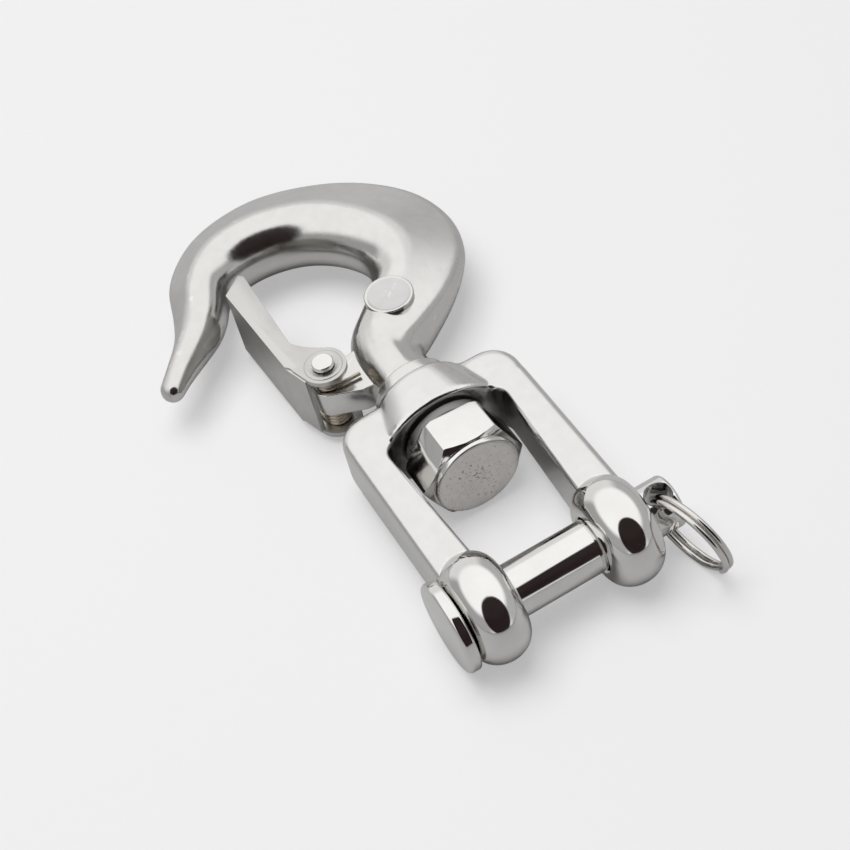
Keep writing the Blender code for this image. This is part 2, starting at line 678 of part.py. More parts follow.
def main():
    clear_scene()
    cast = finish("satin_cast_steel", (0.62, 0.61, 0.59), 0.28)
    polished = finish("polished_steel", (0.78, 0.77, 0.75), 0.08)
    machined = finish("machined_steel", (0.70, 0.69, 0.66), 0.22)
    pressed = finish("pressed_sheet", (0.66, 0.65, 0.62), 0.35)
    spring_steel = finish("spring_wire", (0.60, 0.57, 0.52), 0.25)
    pieces = [
        make_jaw(polished),
        make_clevis_pin(polished),
        make_split_ring(spring_steel),
        make_swivel_bolt(machined),
        make_thrust_washer(machined),
        make_hook_body(cast),
        make_latch(pressed),
        make_latch_rivet(machined),
        make_latch_spring(spring_steel),
    ]
    return rest_on_origin(pieces)


main()
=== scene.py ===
"""Looks of the swivel jaw hook: fine castings, turned parts, pressed latch, wires and steel finishes.

Shapes are drawn in millimetres from the middle of the clevis pin, with the swivel axis along +X, and
seated in the frame by the place that the frame gives for that pin.
"""

import json
import math

import bmesh
import bpy
from mathutils import Matrix, Vector, kdtree


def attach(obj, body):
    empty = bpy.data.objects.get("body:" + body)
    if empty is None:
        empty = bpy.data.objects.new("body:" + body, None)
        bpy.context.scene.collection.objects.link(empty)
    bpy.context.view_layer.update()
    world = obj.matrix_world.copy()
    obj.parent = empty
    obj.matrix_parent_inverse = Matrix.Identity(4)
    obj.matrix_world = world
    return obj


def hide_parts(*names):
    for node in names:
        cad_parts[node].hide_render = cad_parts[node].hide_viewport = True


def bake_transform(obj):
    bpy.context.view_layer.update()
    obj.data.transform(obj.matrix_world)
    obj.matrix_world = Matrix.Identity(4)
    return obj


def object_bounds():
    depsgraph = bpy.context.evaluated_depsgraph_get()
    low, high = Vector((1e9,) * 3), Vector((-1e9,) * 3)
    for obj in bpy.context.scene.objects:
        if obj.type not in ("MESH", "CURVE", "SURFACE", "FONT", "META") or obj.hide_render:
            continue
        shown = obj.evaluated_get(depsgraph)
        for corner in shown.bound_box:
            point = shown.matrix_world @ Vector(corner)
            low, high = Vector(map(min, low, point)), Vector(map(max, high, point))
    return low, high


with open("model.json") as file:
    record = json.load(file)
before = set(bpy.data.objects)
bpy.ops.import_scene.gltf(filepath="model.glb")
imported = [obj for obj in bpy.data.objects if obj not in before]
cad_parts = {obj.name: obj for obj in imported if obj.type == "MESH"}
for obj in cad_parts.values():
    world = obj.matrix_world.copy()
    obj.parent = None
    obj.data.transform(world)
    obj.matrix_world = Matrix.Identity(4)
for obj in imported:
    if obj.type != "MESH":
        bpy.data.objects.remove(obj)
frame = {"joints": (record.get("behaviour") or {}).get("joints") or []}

cad_low, cad_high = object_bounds()

MM = 0.001
GAP = 0.3
JOINTS = {joint["name"]: joint for joint in frame["joints"]}
PIN_MIDDLE = Vector(JOINTS["pin_turn"]["pos_m"])
LATCH_PIVOT = (Vector(JOINTS["latch_pivot"]["pos_m"]) - PIN_MIDDLE) / MM
CROSS_HOLE = (Vector(JOINTS["ring_swing"]["pos_m"]) - PIN_MIDDLE) / MM
CROSS_HOLE_AXIS = Vector(JOINTS["ring_swing"]["axis"])

# Jaw, in mm
EAR_RADIUS = 10.3
EAR_THICKNESS = 10.3
EAR_INSIDE = 8.45
EAR_FLAT_RADIUS = 6.1
EAR_MIDDLE = EAR_INSIDE + EAR_THICKNESS / 2
EAR_OUTSIDE = EAR_INSIDE + EAR_THICKNESS
ARM_HALF_HEIGHT = 6.1
ARM_OUTSIDE = 18.5
ARM_INSIDE_AT_EAR = 10.3
ARM_INSIDE_AT_COLLAR = 12.2
ARM_OUTER_EDGE = 2.0
ARM_INNER_EDGE = 0.8
SHOULDER_X = 46.2
SHOULDER_CORNER = 5.6
CROTCH_X = 37.0
CROTCH_CORNER = 3.0
COLLAR_NEAR_HALF_WIDTH = 13.4
COLLAR_HALF_HEIGHT = 10.25
COLLAR_FAR_RADIUS = 10.1
COLLAR_BEVEL = 1.6
COLLAR_LIP = 0.5
COLLAR_BORE_FLARE = 0.9
EAR_BORE_FLARE = 0.8
COLLAR_FAR_X = 46.6

# Clevis pin and split ring, in mm
PIN_RADIUS = 5.0
PIN_BORE_RADIUS = 5.3
PIN_HEAD_RADIUS = 8.6
PIN_HEAD_NEAR_Y = EAR_OUTSIDE + GAP
PIN_HEAD_THICKNESS = 2.7
PIN_HEAD_EDGE = 0.9
PIN_HEAD_CROWN = 0.25
PIN_HEAD_BACK_EDGE = 0.5
PIN_END_EDGE = 0.8
PIN_END_Y = -25.0
CROSS_HOLE_RADIUS = 2.55
CROSS_HOLE_FLARE = 0.45
RING_RADIUS = 8.4
RING_WIRE = 1.1
RING_TURN_PITCH = 1.16
RING_TURNS = 1.96
RING_SPLAY = math.radians(14.5)
RING_LEAN = math.radians(-7.5)
RING_CENTRE_REACH = RING_RADIUS - 0.8
RING_CROSSOVER = 1 / 6
RING_START = math.radians(35.0)

# Swivel bolt and washer, in mm
SHANK_RADIUS = 5.0
BOLT_FACE_X = 24.7
BOLT_FACE_RADIUS = 8.6
BOLT_FACE_STEP = 1.0
HEX_ACROSS_FLATS = 18.2
HEX_BACK_X = 34.1
HEX_TURN = math.radians(34.0)
HEX_EDGE = 0.35
BOLT_FACE_EDGE = 0.4
BOLT_END_CHAMFER = 1.0
BOLT_END_X = 60.0
WASHER_NEAR_X = HEX_BACK_X + GAP
WASHER_RADIUS = 8.7
WASHER_THICKNESS = 2.0
WASHER_EDGE = 0.3

# Hook, in mm
FLANGE_NEAR_X = COLLAR_FAR_X + 0.5
FLANGE_FAR_X = 50.3
FLANGE_RADIUS = 7.8
FLANGE_EDGE = 0.6
NECK_RADIUS = 6.6
NECK_FLAT_HEIGHT = 6.15
NECK_FLAT_SHARE = 0.45
NECK_FLAT_END_X = 72.0
NECK_FLAT_FADE = (64.0, 70.0)
NECK_SMOOTH_END_X = 71.0
PAD_CENTRE = Vector((68.5, -6.4, 0.0))
PAD_RADIUS = 4.95
PAD_TOP = 7.0
PAD_ROOT = 2.0
PAD_EDGE = 0.35
PAD_RIM_STEPS = ((0.06, 0.60), (0.16, 0.80))
PAD_FACE_DEPTH = 0.26
PAD_FACE_DISH = 0.07
PAD_FACE_INSET = 1.0
PAD_FACE_RINGS = 12
LUG_RADIUS = 3.4
LUG_HALF_HEIGHT = 3.0
LUG_EDGE = 0.3
LUG_NECK_SIDE = ((53.0, 3.5), (53.4, 8.3))
LUG_BOWL_SIDE = (63.6, 4.0)
FLANK_EDGE = (0.96, 1.10)
FLANK_FADE = (64.0, 78.0)

# Hook sections from flange to tip, in mm: inner edge x, y; outer edge x, y; half height of the round
# inner rim; plan radius of the rim; half height of the thin outer edge; plan radius of that edge
HOOK_SECTIONS = (
    (50.0, 6.6, 50.0, -6.6, 6.6, 6.6, 6.6, 6.6),
    (57.5, 6.8, 57.3, -6.3, 6.6, 6.5, 6.5, 6.5),
    (62.5, 6.2, 59.8, -10.0, 6.6, 7.0, 6.0, 5.0),
    (67.2, 4.2, 63.0, -14.8, 6.7, 7.2, 5.0, 4.0),
    (70.6, 0.7, 66.2, -19.0, 6.8, 7.4, 4.2, 3.4),
    (74.2, -3.2, 70.6, -23.4, 7.0, 7.5, 3.5, 3.0),
    (78.4, -6.9, 76.4, -27.2, 7.2, 7.5, 3.1, 2.8),
    (84.5, -7.7, 85.5, -29.0, 7.4, 7.5, 2.8, 2.6),
    (91.5, -4.1, 97.0, -26.0, 7.4, 7.5, 2.8, 2.6),
    (96.4, 1.8, 108.2, -16.2, 7.4, 7.5, 2.8, 2.6),
    (98.1, 8.6, 115.2, -2.5, 7.4, 7.4, 2.8, 2.6),
    (97.6, 14.0, 116.2, 8.5, 7.4, 7.2, 2.8, 2.6),
    (95.2, 18.2, 113.0, 19.3, 7.2, 6.9, 2.7, 2.5),
    (91.0, 20.6, 105.0, 27.5, 6.8, 6.2, 2.6, 2.4),
    (87.0, 23.8, 96.5, 30.4, 5.8, 4.9, 2.5, 2.3),
    (83.4, 28.6, 90.0, 32.9, 4.5, 3.7, 2.5, 2.3),
    (80.0, 33.4, 85.0, 36.7, 3.4, 3.0, 2.5, 2.5),
    (77.2, 36.6, 80.8, 40.1, 2.5, 2.5, 2.5, 2.5),
)
SECTION_STEPS = 12
RIDGE_SHARE = 0.75
SECTION_SMOOTHING = 14
TIP_LENGTH = 2.4

# Latch, rivet and spring, in mm
SHEET = 1.1
LATCH_HALF_HEIGHT = 8.15
LATCH_EAR_RADIUS = 4.5
LATCH_TIP_INNER = (89.9, 15.1)
LATCH_TIP_CORNER = (90.8, 16.0)
LATCH_TIP_OUTER = Vector((87.4, 20.3))
LATCH_HEEL = Vector((63.2, 19.1))
LATCH_NOTCH = ((62.6, 18.55), (62.1, 18.3), (61.4, 18.2), (60.5, 17.95))
LATCH_TAB_END = Vector((57.7, 17.5))
LATCH_WAIST = (68.1, 15.5)
LATCH_THROAT = (64.9, 13.9)
RIVET_RADIUS = 1.5
RIVET_HEAD_RADIUS = 2.15
RIVET_HEAD_THICKNESS = 0.9
RIVET_HEAD_EDGE = 0.35
SHEET_EDGE = 0.16
SPRING_WIRE = 0.8
SPRING_COIL_RADIUS = 2.35
SPRING_TURNS = 3
SPRING_PITCH = 0.85
SPRING_INNER_Z = LUG_HALF_HEIGHT + 0.8
SPRING_REACH = (75.0, 17.5)
SPRING_FOOT_Y = 7.0
SPRING_FOOT_STEP = 0.6
SPRING_BEND = 1.2

# Fineness of the meshes
CAST_VOXEL = 0.34
TURNED_SEGMENTS = 144
WIRE_RINGS_PER_TURN = 72
WIRE_SIDES = 5

# Camera, in mm and degrees
VIEW_TARGET = Vector((41.07, 2.15, 0.0))
VIEW_DISTANCE = 317.57
VIEW_AZIMUTH = math.radians(-17.96)
VIEW_ELEVATION = math.radians(50.24)
VIEW_ROLL = math.radians(-14.83)
VIEW_LENS = 72.0

# Light tent: brightness of roof, far wall and sides, the heights and widths where they meet, the even
# light that reaches matt surfaces, the round dark opening on the near side, the floor and the key light
TENT_ROOF = 1.15
TENT_FAR_WALL = 0.85
TENT_LEFT_WALL = 0.42
TENT_RIGHT_WALL = 0.50
TENT_SIDE_FROM = 0.42
TENT_SIDE_TO = 0.66
TENT_WALL_TOP = 0.5
TENT_FILL = 0.22
FLOOR_GLOW = 0.36
OPENING_TOWARDS = Vector((-0.83, 0.03, 0.56))
OPENING_EDGE = 0.755
OPENING_INSIDE = 0.80
OPENING_DARKNESS = 0.98
OPENING_WARMTH = 0.008
BACKDROP = 0.83
WALL_BLEND = 0.12
FLOOR_RADIUS = 6.0
FLOOR_COLOUR = (0.60, 0.60, 0.604, 1.0)
KEY_OFFSET = Vector((0.12, 0.10, 0.90))
KEY_SIZE = (0.7, 0.7)
KEY_POWER = 5.9


# ---------------------------------------------------------------- shapes

def arc(centre, radius, start, end, count):
    """Points of an arc in a plane, from one angle to the other."""
    angles = [start + (end - start) * index / count for index in range(count + 1)]
    return [(centre[0] + radius * math.cos(a), centre[1] + radius * math.sin(a)) for a in angles]


def turned(profile, axis, segments=TURNED_SEGMENTS):
    """Spin a profile of (along, radius) points round the X, Y or Z axis through the origin."""
    bm = bmesh.new()
    places = {
        "X": lambda along, radius: Vector((along, 0.0, radius)),
        "Y": lambda along, radius: Vector((0.0, along, radius)),
        "Z": lambda along, radius: Vector((radius, 0.0, along)),
    }
    verts = [bm.verts.new(places[axis](along, radius)) for along, radius in profile]
    edges = [bm.edges.new(pair) for pair in zip(verts, verts[1:])]
    if profile[0][1] > 0.0 and profile[-1][1] > 0.0:
        edges.append(bm.edges.new((verts[-1], verts[0])))
    bmesh.ops.spin(
        bm,
        geom=verts + edges,
        cent=(0.0, 0.0, 0.0),
        axis=Matrix.Identity(3)["XYZ".index(axis)],
        angle=math.tau,
        steps=segments,
        use_merge=True,
    )
    bmesh.ops.remove_doubles(bm, verts=bm.verts, dist=0.001)
    bmesh.ops.recalc_face_normals(bm, faces=bm.faces)
    return bm


def plate(outline, low, high):
    """Extrude a plan outline from one height to another."""
    bm = bmesh.new()
    face = bm.faces.new([bm.verts.new((*place, low)) for place in outline])
    lifted = bmesh.ops.extrude_face_region(bm, geom=[face])
    top = [item for item in lifted["geom"] if isinstance(item, bmesh.types.BMVert)]
    bmesh.ops.translate(bm, verts=top, vec=(0.0, 0.0, high - low))
    bmesh.ops.recalc_face_normals(bm, faces=bm.faces)
    return bm


def lofted(rings):
    """Bridge closed rings of points into a solid with filled ends."""
    bm = bmesh.new()
    previous = None
    for ring in rings:
        verts = [bm.verts.new(point) for point in ring]
        edges = [bm.edges.new((verts[i - 1], verts[i])) for i in range(len(verts))]
        if previous:
            bmesh.ops.bridge_loops(bm, edges=previous + edges)
        else:
            bm.faces.new(verts)
        previous = edges
    bm.faces.new(verts)
    bmesh.ops.recalc_face_normals(bm, faces=bm.faces)
    return bm


def bar(radius, start, end, flare=0.0, segments=TURNED_SEGMENTS):
    """A round bar between two points; a flare widens both ends into a chamfer cutter."""
    start = Vector(start)
    end = Vector(end)
    length = (end - start).length
    profile = [(0.0, 0.0), (0.0, radius + flare)]
    if flare:
        profile += [(flare, radius), (length - flare, radius)]
    profile += [(length, radius + flare), (length, 0.0)]
    bm = turned(profile, "Z", segments)
    turn = (end - start).to_track_quat("Z", "X").to_matrix().to_4x4()
    bmesh.ops.transform(bm, matrix=Matrix.Translation(start) @ turn, verts=bm.verts)
    return bm


def moved(bm, offset):
    """Move a shape."""
    bmesh.ops.translate(bm, verts=bm.verts, vec=offset)
    return bm


def helper_object(bm, name="helper"):
    """A throwaway object that carries a shape through modifiers."""
    mesh = bpy.data.meshes.new(name)
    bm.to_mesh(mesh)
    bm.free()
    holder = bpy.data.objects.new(name, mesh)
    bpy.context.scene.collection.objects.link(holder)
    return holder


def after_modifiers(holder, *others):
    """The helper's shape with its modifiers applied; the helper objects are removed."""
    graph = bpy.context.evaluated_depsgraph_get()
    bm = bmesh.new()
    bm.from_object(holder, graph)
    for item in (holder, *others):
        mesh = item.data
        bpy.data.objects.remove(item, do_unlink=True)
        bpy.data.meshes.remove(mesh)
    return bm


def combined(bm, tool, operation):
    """Join a second closed shape to the first, or cut it away."""
    holder = helper_object(bm)
    cutter = helper_object(tool, "tool")
    boolean = holder.modifiers.new("combine", "BOOLEAN")
    boolean.operation = operation
    boolean.solver = "MANIFOLD"
    boolean.object = cutter
    return after_modifiers(holder, cutter)


def bevelled(bm, width, segments, angle=30.0):
    """Round every edge that turns by more than the angle."""
    holder = helper_object(bm)
    bevel = holder.modifiers.new("bevel", "BEVEL")
    bevel.width = width
    bevel.segments = segments
    bevel.limit_method = "ANGLE"
    bevel.angle_limit = math.radians(angle)
    return after_modifiers(holder)


def fused(shapes, voxel):
    """Melt overlapping closed shapes into one even skin."""
    whole = bmesh.new()
    for shape in shapes:
        mesh = bpy.data.meshes.new("shell")
        shape.to_mesh(mesh)
        shape.free()
        whole.from_mesh(mesh)
        bpy.data.meshes.remove(mesh)
    holder = helper_object(whole)
    remesh = holder.modifiers.new("remesh", "REMESH")
    remesh.mode = "VOXEL"
    remesh.voxel_size = voxel
    remesh.adaptivity = 0.0
    return after_modifiers(holder)


def relax(bm, rounds, where=None):
    """Smooth a skin, everywhere or only at the points that a test accepts."""
    chosen = [vert for vert in bm.verts if where is None or where(vert.co)]
    for _ in range(rounds):
        bmesh.ops.smooth_vert(
            bm, verts=chosen, factor=0.5, use_axis_x=True, use_axis_y=True, use_axis_z=True
        )
    return bm


def seat(name, bm, body, node, slot, *materials, sharp=35.0):
    """Place a finished shape in the frame as a piece that stands for its CAD node."""
    bmesh.ops.scale(bm, vec=(MM, MM, MM), verts=bm.verts)
    bmesh.ops.translate(bm, vec=PIN_MIDDLE, verts=bm.verts)
    mesh = bpy.data.meshes.new(name)
    bm.to_mesh(mesh)
    bm.free()
    mesh.shade_smooth()
    mesh.set_sharp_from_angle(angle=math.radians(sharp))
    for material in materials:
        mesh.materials.append(material)
    piece = bpy.data.objects.new(name, mesh)
    bpy.context.scene.collection.objects.link(piece)
    if body:
        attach(piece, body)
    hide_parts(node)
    return piece


def step_between(value, low, high):
    """Smooth step from 0 at low to 1 at high."""
    share = min(max((value - low) / (high - low), 0.0), 1.0)
    return share * share * (3.0 - 2.0 * share)


# ---------------------------------------------------------------- steel finishes

def add_node(tree, kind, settings=None, **inputs):
    """Add a shader node, set its options, and link or set its inputs."""
    made = tree.nodes.new(kind)
    for key, value in (settings or {}).items():
        setattr(made, key, value)
    for key, value in inputs.items():
        socket = made.inputs[int(key[1:])] if key[0] == "i" and key[1:].isdigit() else made.inputs[key]
        if isinstance(value, bpy.types.NodeSocket):
            tree.links.new(value, socket)
        else:
            socket.default_value = value
    return made


def noise_field(tree, place, scale, detail=4.0, roughness=0.55):
    """Grey noise on object coordinates; scale is the number of features in a metre."""
    return add_node(tree, "ShaderNodeTexNoise", Vector=place, Scale=scale, Detail=detail,
                    Roughness=roughness).outputs["Fac"]


def remap(tree, value, from_low, from_high, to_low, to_high):
    """Map one range of a value smoothly onto another."""
    mapped = add_node(tree, "ShaderNodeMapRange", {"interpolation_type": "SMOOTHSTEP"}, i0=value,
                      i1=from_low, i2=from_high, i3=to_low, i4=to_high)
    return mapped.outputs[0]


def maths(tree, operation, first, second=0.0):
    """One arithmetic step."""
    return add_node(tree, "ShaderNodeMath", {"operation": operation}, i0=first, i1=second).outputs[0]


def tinted(tree, share, dark, light):
    """Blend two colours by a share."""
    mix = add_node(tree, "ShaderNodeMix", {"data_type": "RGBA"}, i0=share)
    mix.inputs[6].default_value = (*dark, 1.0)
    mix.inputs[7].default_value = (*light, 1.0)
    return mix.outputs[2]


def start_steel(name):
    """A metal material with its shader and object coordinates."""
    material = bpy.data.materials.new(name)
    material.use_nodes = True
    tree = material.node_tree
    shader = tree.nodes["Principled BSDF"]
    shader.inputs["Metallic"].default_value = 1.0
    place = tree.nodes.new("ShaderNodeTexCoord").outputs["Object"]
    return material, tree, shader, place


def bump_on(tree, shader, height, depth, strength=1.0):
    """Relief from a height field; depth is the relief in metres."""
    relief = add_node(tree, "ShaderNodeBump", Height=height, Distance=depth, Strength=strength)
    tree.links.new(relief.outputs["Normal"], shader.inputs["Normal"])


def cast_steel(name, dark, light, smooth_finish, rough_finish, relief=0.000012, flank=None):
    """Electropolished casting: satin shine, faint orange peel, brighter worn edges, and a matt flank whose
    colour is darkened as painted shade.
    """
    material, tree, shader, place = start_steel(name)
    clouds = noise_field(tree, place, 320.0, 4.0)
    peel = noise_field(tree, place, 1100.0, 5.0, 0.6)
    grit = noise_field(tree, place, 4200.0, 2.0)
    edges = add_node(tree, "ShaderNodeNewGeometry").outputs["Pointiness"]
    worn = remap(tree, edges, 0.505, 0.545, 0.0, 1.0)
    patchy = remap(tree, maths(tree, "ADD", clouds, maths(tree, "MULTIPLY", peel, 0.4)), 0.5, 0.95, 0.0, 1.0)
    shade = maths(tree, "MAXIMUM", maths(tree, "MULTIPLY", patchy, 0.45), worn)
    colour = tinted(tree, shade, dark, light)
    rough = remap(tree, peel, 0.3, 0.7, smooth_finish, rough_finish)
    if flank:
        share = add_node(tree, "ShaderNodeAttribute", {"attribute_name": flank}).outputs["Fac"]
        matt = maths(tree, "MULTIPLY", share, 0.20)
        rough = maths(tree, "ADD", rough, matt)
        # painted shade: the flank share multiplies the colour darker, standing for the greyer light that the
        # tapered flank reflects
        flank_painted_shade = add_node(tree, "ShaderNodeMix", {"data_type": "RGBA", "blend_type": "MULTIPLY"}, i0=share)
        tree.links.new(colour, flank_painted_shade.inputs[6])
        flank_painted_shade.inputs[7].default_value = (0.92, 0.92, 0.93, 1.0)
        colour = flank_painted_shade.outputs[2]
    tree.links.new(colour, shader.inputs["Base Color"])
    tree.links.new(maths(tree, "SUBTRACT", rough, maths(tree, "MULTIPLY", worn, 0.06)),
                   shader.inputs["Roughness"])
    height = maths(tree, "ADD", maths(tree, "MULTIPLY", peel, 0.7), maths(tree, "MULTIPLY", grit, 0.3))
    bump_on(tree, shader, height, relief)
    return material


def polished_steel(name, tint, finish, relief=0.000002):
    """Mirror polish with faint smears and hairline scratches."""
    material, tree, shader, place = start_steel(name)
    smears = noise_field(tree, place, 140.0, 4.0)
    stretched = add_node(tree, "ShaderNodeMapping", Vector=place, Scale=(1.0, 0.06, 1.0)).outputs[0]
    scratches = noise_field(tree, stretched, 2600.0, 3.0, 0.7)
    colour = tinted(tree, remap(tree, smears, 0.35, 0.7, 0.0, 1.0), [c * 0.94 for c in tint], tint)
    tree.links.new(colour, shader.inputs["Base Color"])
    rough = remap(tree, maths(tree, "ADD", smears, maths(tree, "MULTIPLY", scratches, 0.5)), 0.55, 0.95,
                  finish * 0.75, finish * 1.6)
    tree.links.new(rough, shader.inputs["Roughness"])
    bump_on(tree, shader, scratches, relief)
    return material


def pitted_steel(name, tint, finish):
    """Matt end face with worn pits and stains, thickest near the middle."""
    material, tree, shader, place = start_steel(name)
    stains = noise_field(tree, place, 260.0, 5.0, 0.65)
    specks = noise_field(tree, place, 1500.0, 3.0, 0.6)
    face_middle = PIN_MIDDLE + Vector((BOLT_FACE_X, 0.0, 0.0)) * MM
    away = add_node(tree, "ShaderNodeVectorMath", {"operation": "DISTANCE"}, i0=place, i1=tuple(face_middle))
    thinning = maths(tree, "MULTIPLY", away.outputs["Value"], 16.0)
    crowd = maths(tree, "ADD", specks, maths(tree, "MULTIPLY", stains, 0.4))
    pits = remap(tree, maths(tree, "SUBTRACT", crowd, thinning), 0.74, 0.80, 0.0, 1.0)
    base = tinted(tree, remap(tree, stains, 0.35, 0.65, 0.0, 1.0), [c * 0.88 for c in tint], tint)
    dark = add_node(tree, "ShaderNodeMix", {"data_type": "RGBA"}, i0=maths(tree, "MULTIPLY", pits, 0.6))
    tree.links.new(base, dark.inputs[6])
    dark.inputs[7].default_value = (0.16, 0.145, 0.13, 1.0)
    tree.links.new(dark.outputs[2], shader.inputs["Base Color"])
    rough = remap(tree, stains, 0.3, 0.7, finish * 0.85, finish * 1.2)
    tree.links.new(maths(tree, "ADD", rough, maths(tree, "MULTIPLY", pits, 0.25)), shader.inputs["Roughness"])
    height = maths(tree, "SUBTRACT", maths(tree, "MULTIPLY", specks, 0.4), pits)
    bump_on(tree, shader, height, 0.00004)
    return material


def sheet_steel(name, tint, finish):
    """Rolled sheet: fine brushed grain along the latch, soft stains, bright cut edges."""
    material, tree, shader, place = start_steel(name)
    stretched = add_node(tree, "ShaderNodeMapping", Vector=place, Scale=(0.05, 1.0, 1.0)).outputs[0]
    grain = noise_field(tree, stretched, 5200.0, 2.0, 0.7)
    clouds = noise_field(tree, place, 180.0, 4.0)
    edges = add_node(tree, "ShaderNodeNewGeometry").outputs["Pointiness"]
    worn = remap(tree, edges, 0.51, 0.6, 0.0, 1.0)
    shade = maths(tree, "ADD", remap(tree, clouds, 0.3, 0.7, 0.0, 0.6), maths(tree, "MULTIPLY", grain, 0.4))
    colour = tinted(tree, maths(tree, "MAXIMUM", shade, worn), [c * 0.88 for c in tint], tint)
    tree.links.new(colour, shader.inputs["Base Color"])
    rough = maths(tree, "ADD", finish, maths(tree, "MULTIPLY", maths(tree, "SUBTRACT", grain, 0.5), 0.18))
    tree.links.new(maths(tree, "SUBTRACT", rough, maths(tree, "MULTIPLY", worn, 0.12)),
                   shader.inputs["Roughness"])
    bump_on(tree, shader, grain, 0.000006)
    return material


# ---------------------------------------------------------------- jaw

def collar_rings():
    """Collar sections from the oval mouth between the arms to the round bevelled far end."""
    lip = COLLAR_LIP
    width = COLLAR_NEAR_HALF_WIDTH
    height = COLLAR_HALF_HEIGHT
    far = COLLAR_FAR_RADIUS
    sizes = [(CROTCH_X, width - lip, height - lip), (CROTCH_X + lip, width, height)]
    round_centre_x = COLLAR_FAR_X - COLLAR_BEVEL
    for index in range(9):
        angle = math.radians(90) * index / 8
        inset = COLLAR_BEVEL * (1 - math.cos(angle))
        x = round_centre_x + COLLAR_BEVEL * math.sin(angle)
        sizes.append((x, far + lip - inset, far - inset))
    angles = [math.tau * index / 96 for index in range(96)]
    return [[Vector((x, half_width * math.cos(a), half_height * math.sin(a))) for a in angles]
            for x, half_width, half_height in sizes]


def on_inner_side(point):
    """Whether a point of the yoke's outline faces the opening between the arms."""
    inside_arms = abs(point.y) < (ARM_INSIDE_AT_COLLAR + ARM_OUTSIDE) / 2
    return inside_arms and point.x < (CROTCH_X + SHOULDER_X) / 2


def yoke_shape():
    """Arms and shoulders from one plan outline, with wide outer and narrow inner roundings."""
    outer_corner = (SHOULDER_X - SHOULDER_CORNER, ARM_OUTSIDE - SHOULDER_CORNER)
    inner_corner = (CROTCH_X - CROTCH_CORNER, ARM_INSIDE_AT_COLLAR - CROTCH_CORNER)
    left_side = [(0.0, ARM_INSIDE_AT_EAR), (0.0, ARM_OUTSIDE)]
    left_side += arc(outer_corner, SHOULDER_CORNER, math.radians(90), 0.0, 24)
    right_side = [(x, -y) for x, y in reversed(left_side)]
    crotch = arc(inner_corner, CROTCH_CORNER, 0.0, math.radians(90), 16)
    right_crotch = [(x, -y) for x, y in reversed(crotch)]
    bm = plate(left_side + right_side + right_crotch + crotch, -ARM_HALF_HEIGHT, ARM_HALF_HEIGHT)
    weights = bm.edges.layers.float.new("bevel_weight_edge")
    for edge in bm.edges:
        first, second = edge.verts
        if abs(first.co.z - second.co.z) < 0.01:
            inner = on_inner_side((first.co + second.co) / 2)
            edge[weights] = ARM_INNER_EDGE / ARM_OUTER_EDGE if inner else 1.0
    holder = helper_object(bm)
    bevel = holder.modifiers.new("bevel", "BEVEL")
    bevel.width = ARM_OUTER_EDGE
    bevel.segments = 8
    bevel.limit_method = "WEIGHT"
    return after_modifiers(holder)


def ear_shape(side):
    """Round ear with a half round rim and flats round the bore."""
    rim_depth = EAR_RADIUS - EAR_FLAT_RADIUS
    half = EAR_THICKNESS / 2
    middle = side * EAR_MIDDLE
    profile = [(middle - half, 2.0)]
    for x, y in arc((0.0, 0.0), 1.0, math.pi, 0.0, 40):
        profile.append((middle + half * x, EAR_FLAT_RADIUS + rim_depth * y))
    profile.append((middle + half, 2.0))
    return turned(profile, "Y")


def make_jaw(cast, polished):
    """Cast fork: satin yoke and collar, mirror polished ears, and chamfered bores."""
    body = fused([yoke_shape(), lofted(collar_rings())], CAST_VOXEL)
    relax(body, 3)
    relax(body, 14, lambda p: CROTCH_X + 0.8 < p.x and 6.0 < math.hypot(p.y, p.z) and abs(p.y) > 8.5
          and abs(p.z) > ARM_HALF_HEIGHT - 2.5)
    bolt_bore = bar(SHANK_RADIUS + GAP, (CROTCH_X - 0.6, 0, 0), (COLLAR_FAR_X + 0.6, 0, 0), COLLAR_BORE_FLARE)
    body = combined(body, bolt_bore, "DIFFERENCE")
    for side in (1.0, -1.0):
        body = combined(body, ear_shape(side), "UNION")
        near = side * (EAR_INSIDE - 0.5)
        far = side * (EAR_OUTSIDE + 0.5)
        pin_bore = bar(PIN_BORE_RADIUS, (0, near, 0), (0, far, 0), EAR_BORE_FLARE)
        body = combined(body, pin_bore, "DIFFERENCE")
    for face in body.faces:
        middle = face.calc_center_median()
        across = math.hypot(middle.x, middle.z)
        rim = EAR_FLAT_RADIUS + (EAR_RADIUS - EAR_FLAT_RADIUS) * math.sqrt(
            max(0.0, 1 - ((abs(middle.y) - EAR_MIDDLE) / (EAR_THICKNESS / 2)) ** 2))
        on_ear = EAR_INSIDE - 0.01 < abs(middle.y) and across < EAR_RADIUS + 0.01
        if on_ear and (abs(across - rim) < 0.12 or across < EAR_FLAT_RADIUS):
            face.material_index = 1
    return seat("jaw_casting", body, "jaw", "jaw", "jaw_steel", cast, polished)


# ---------------------------------------------------------------- clevis pin and split ring

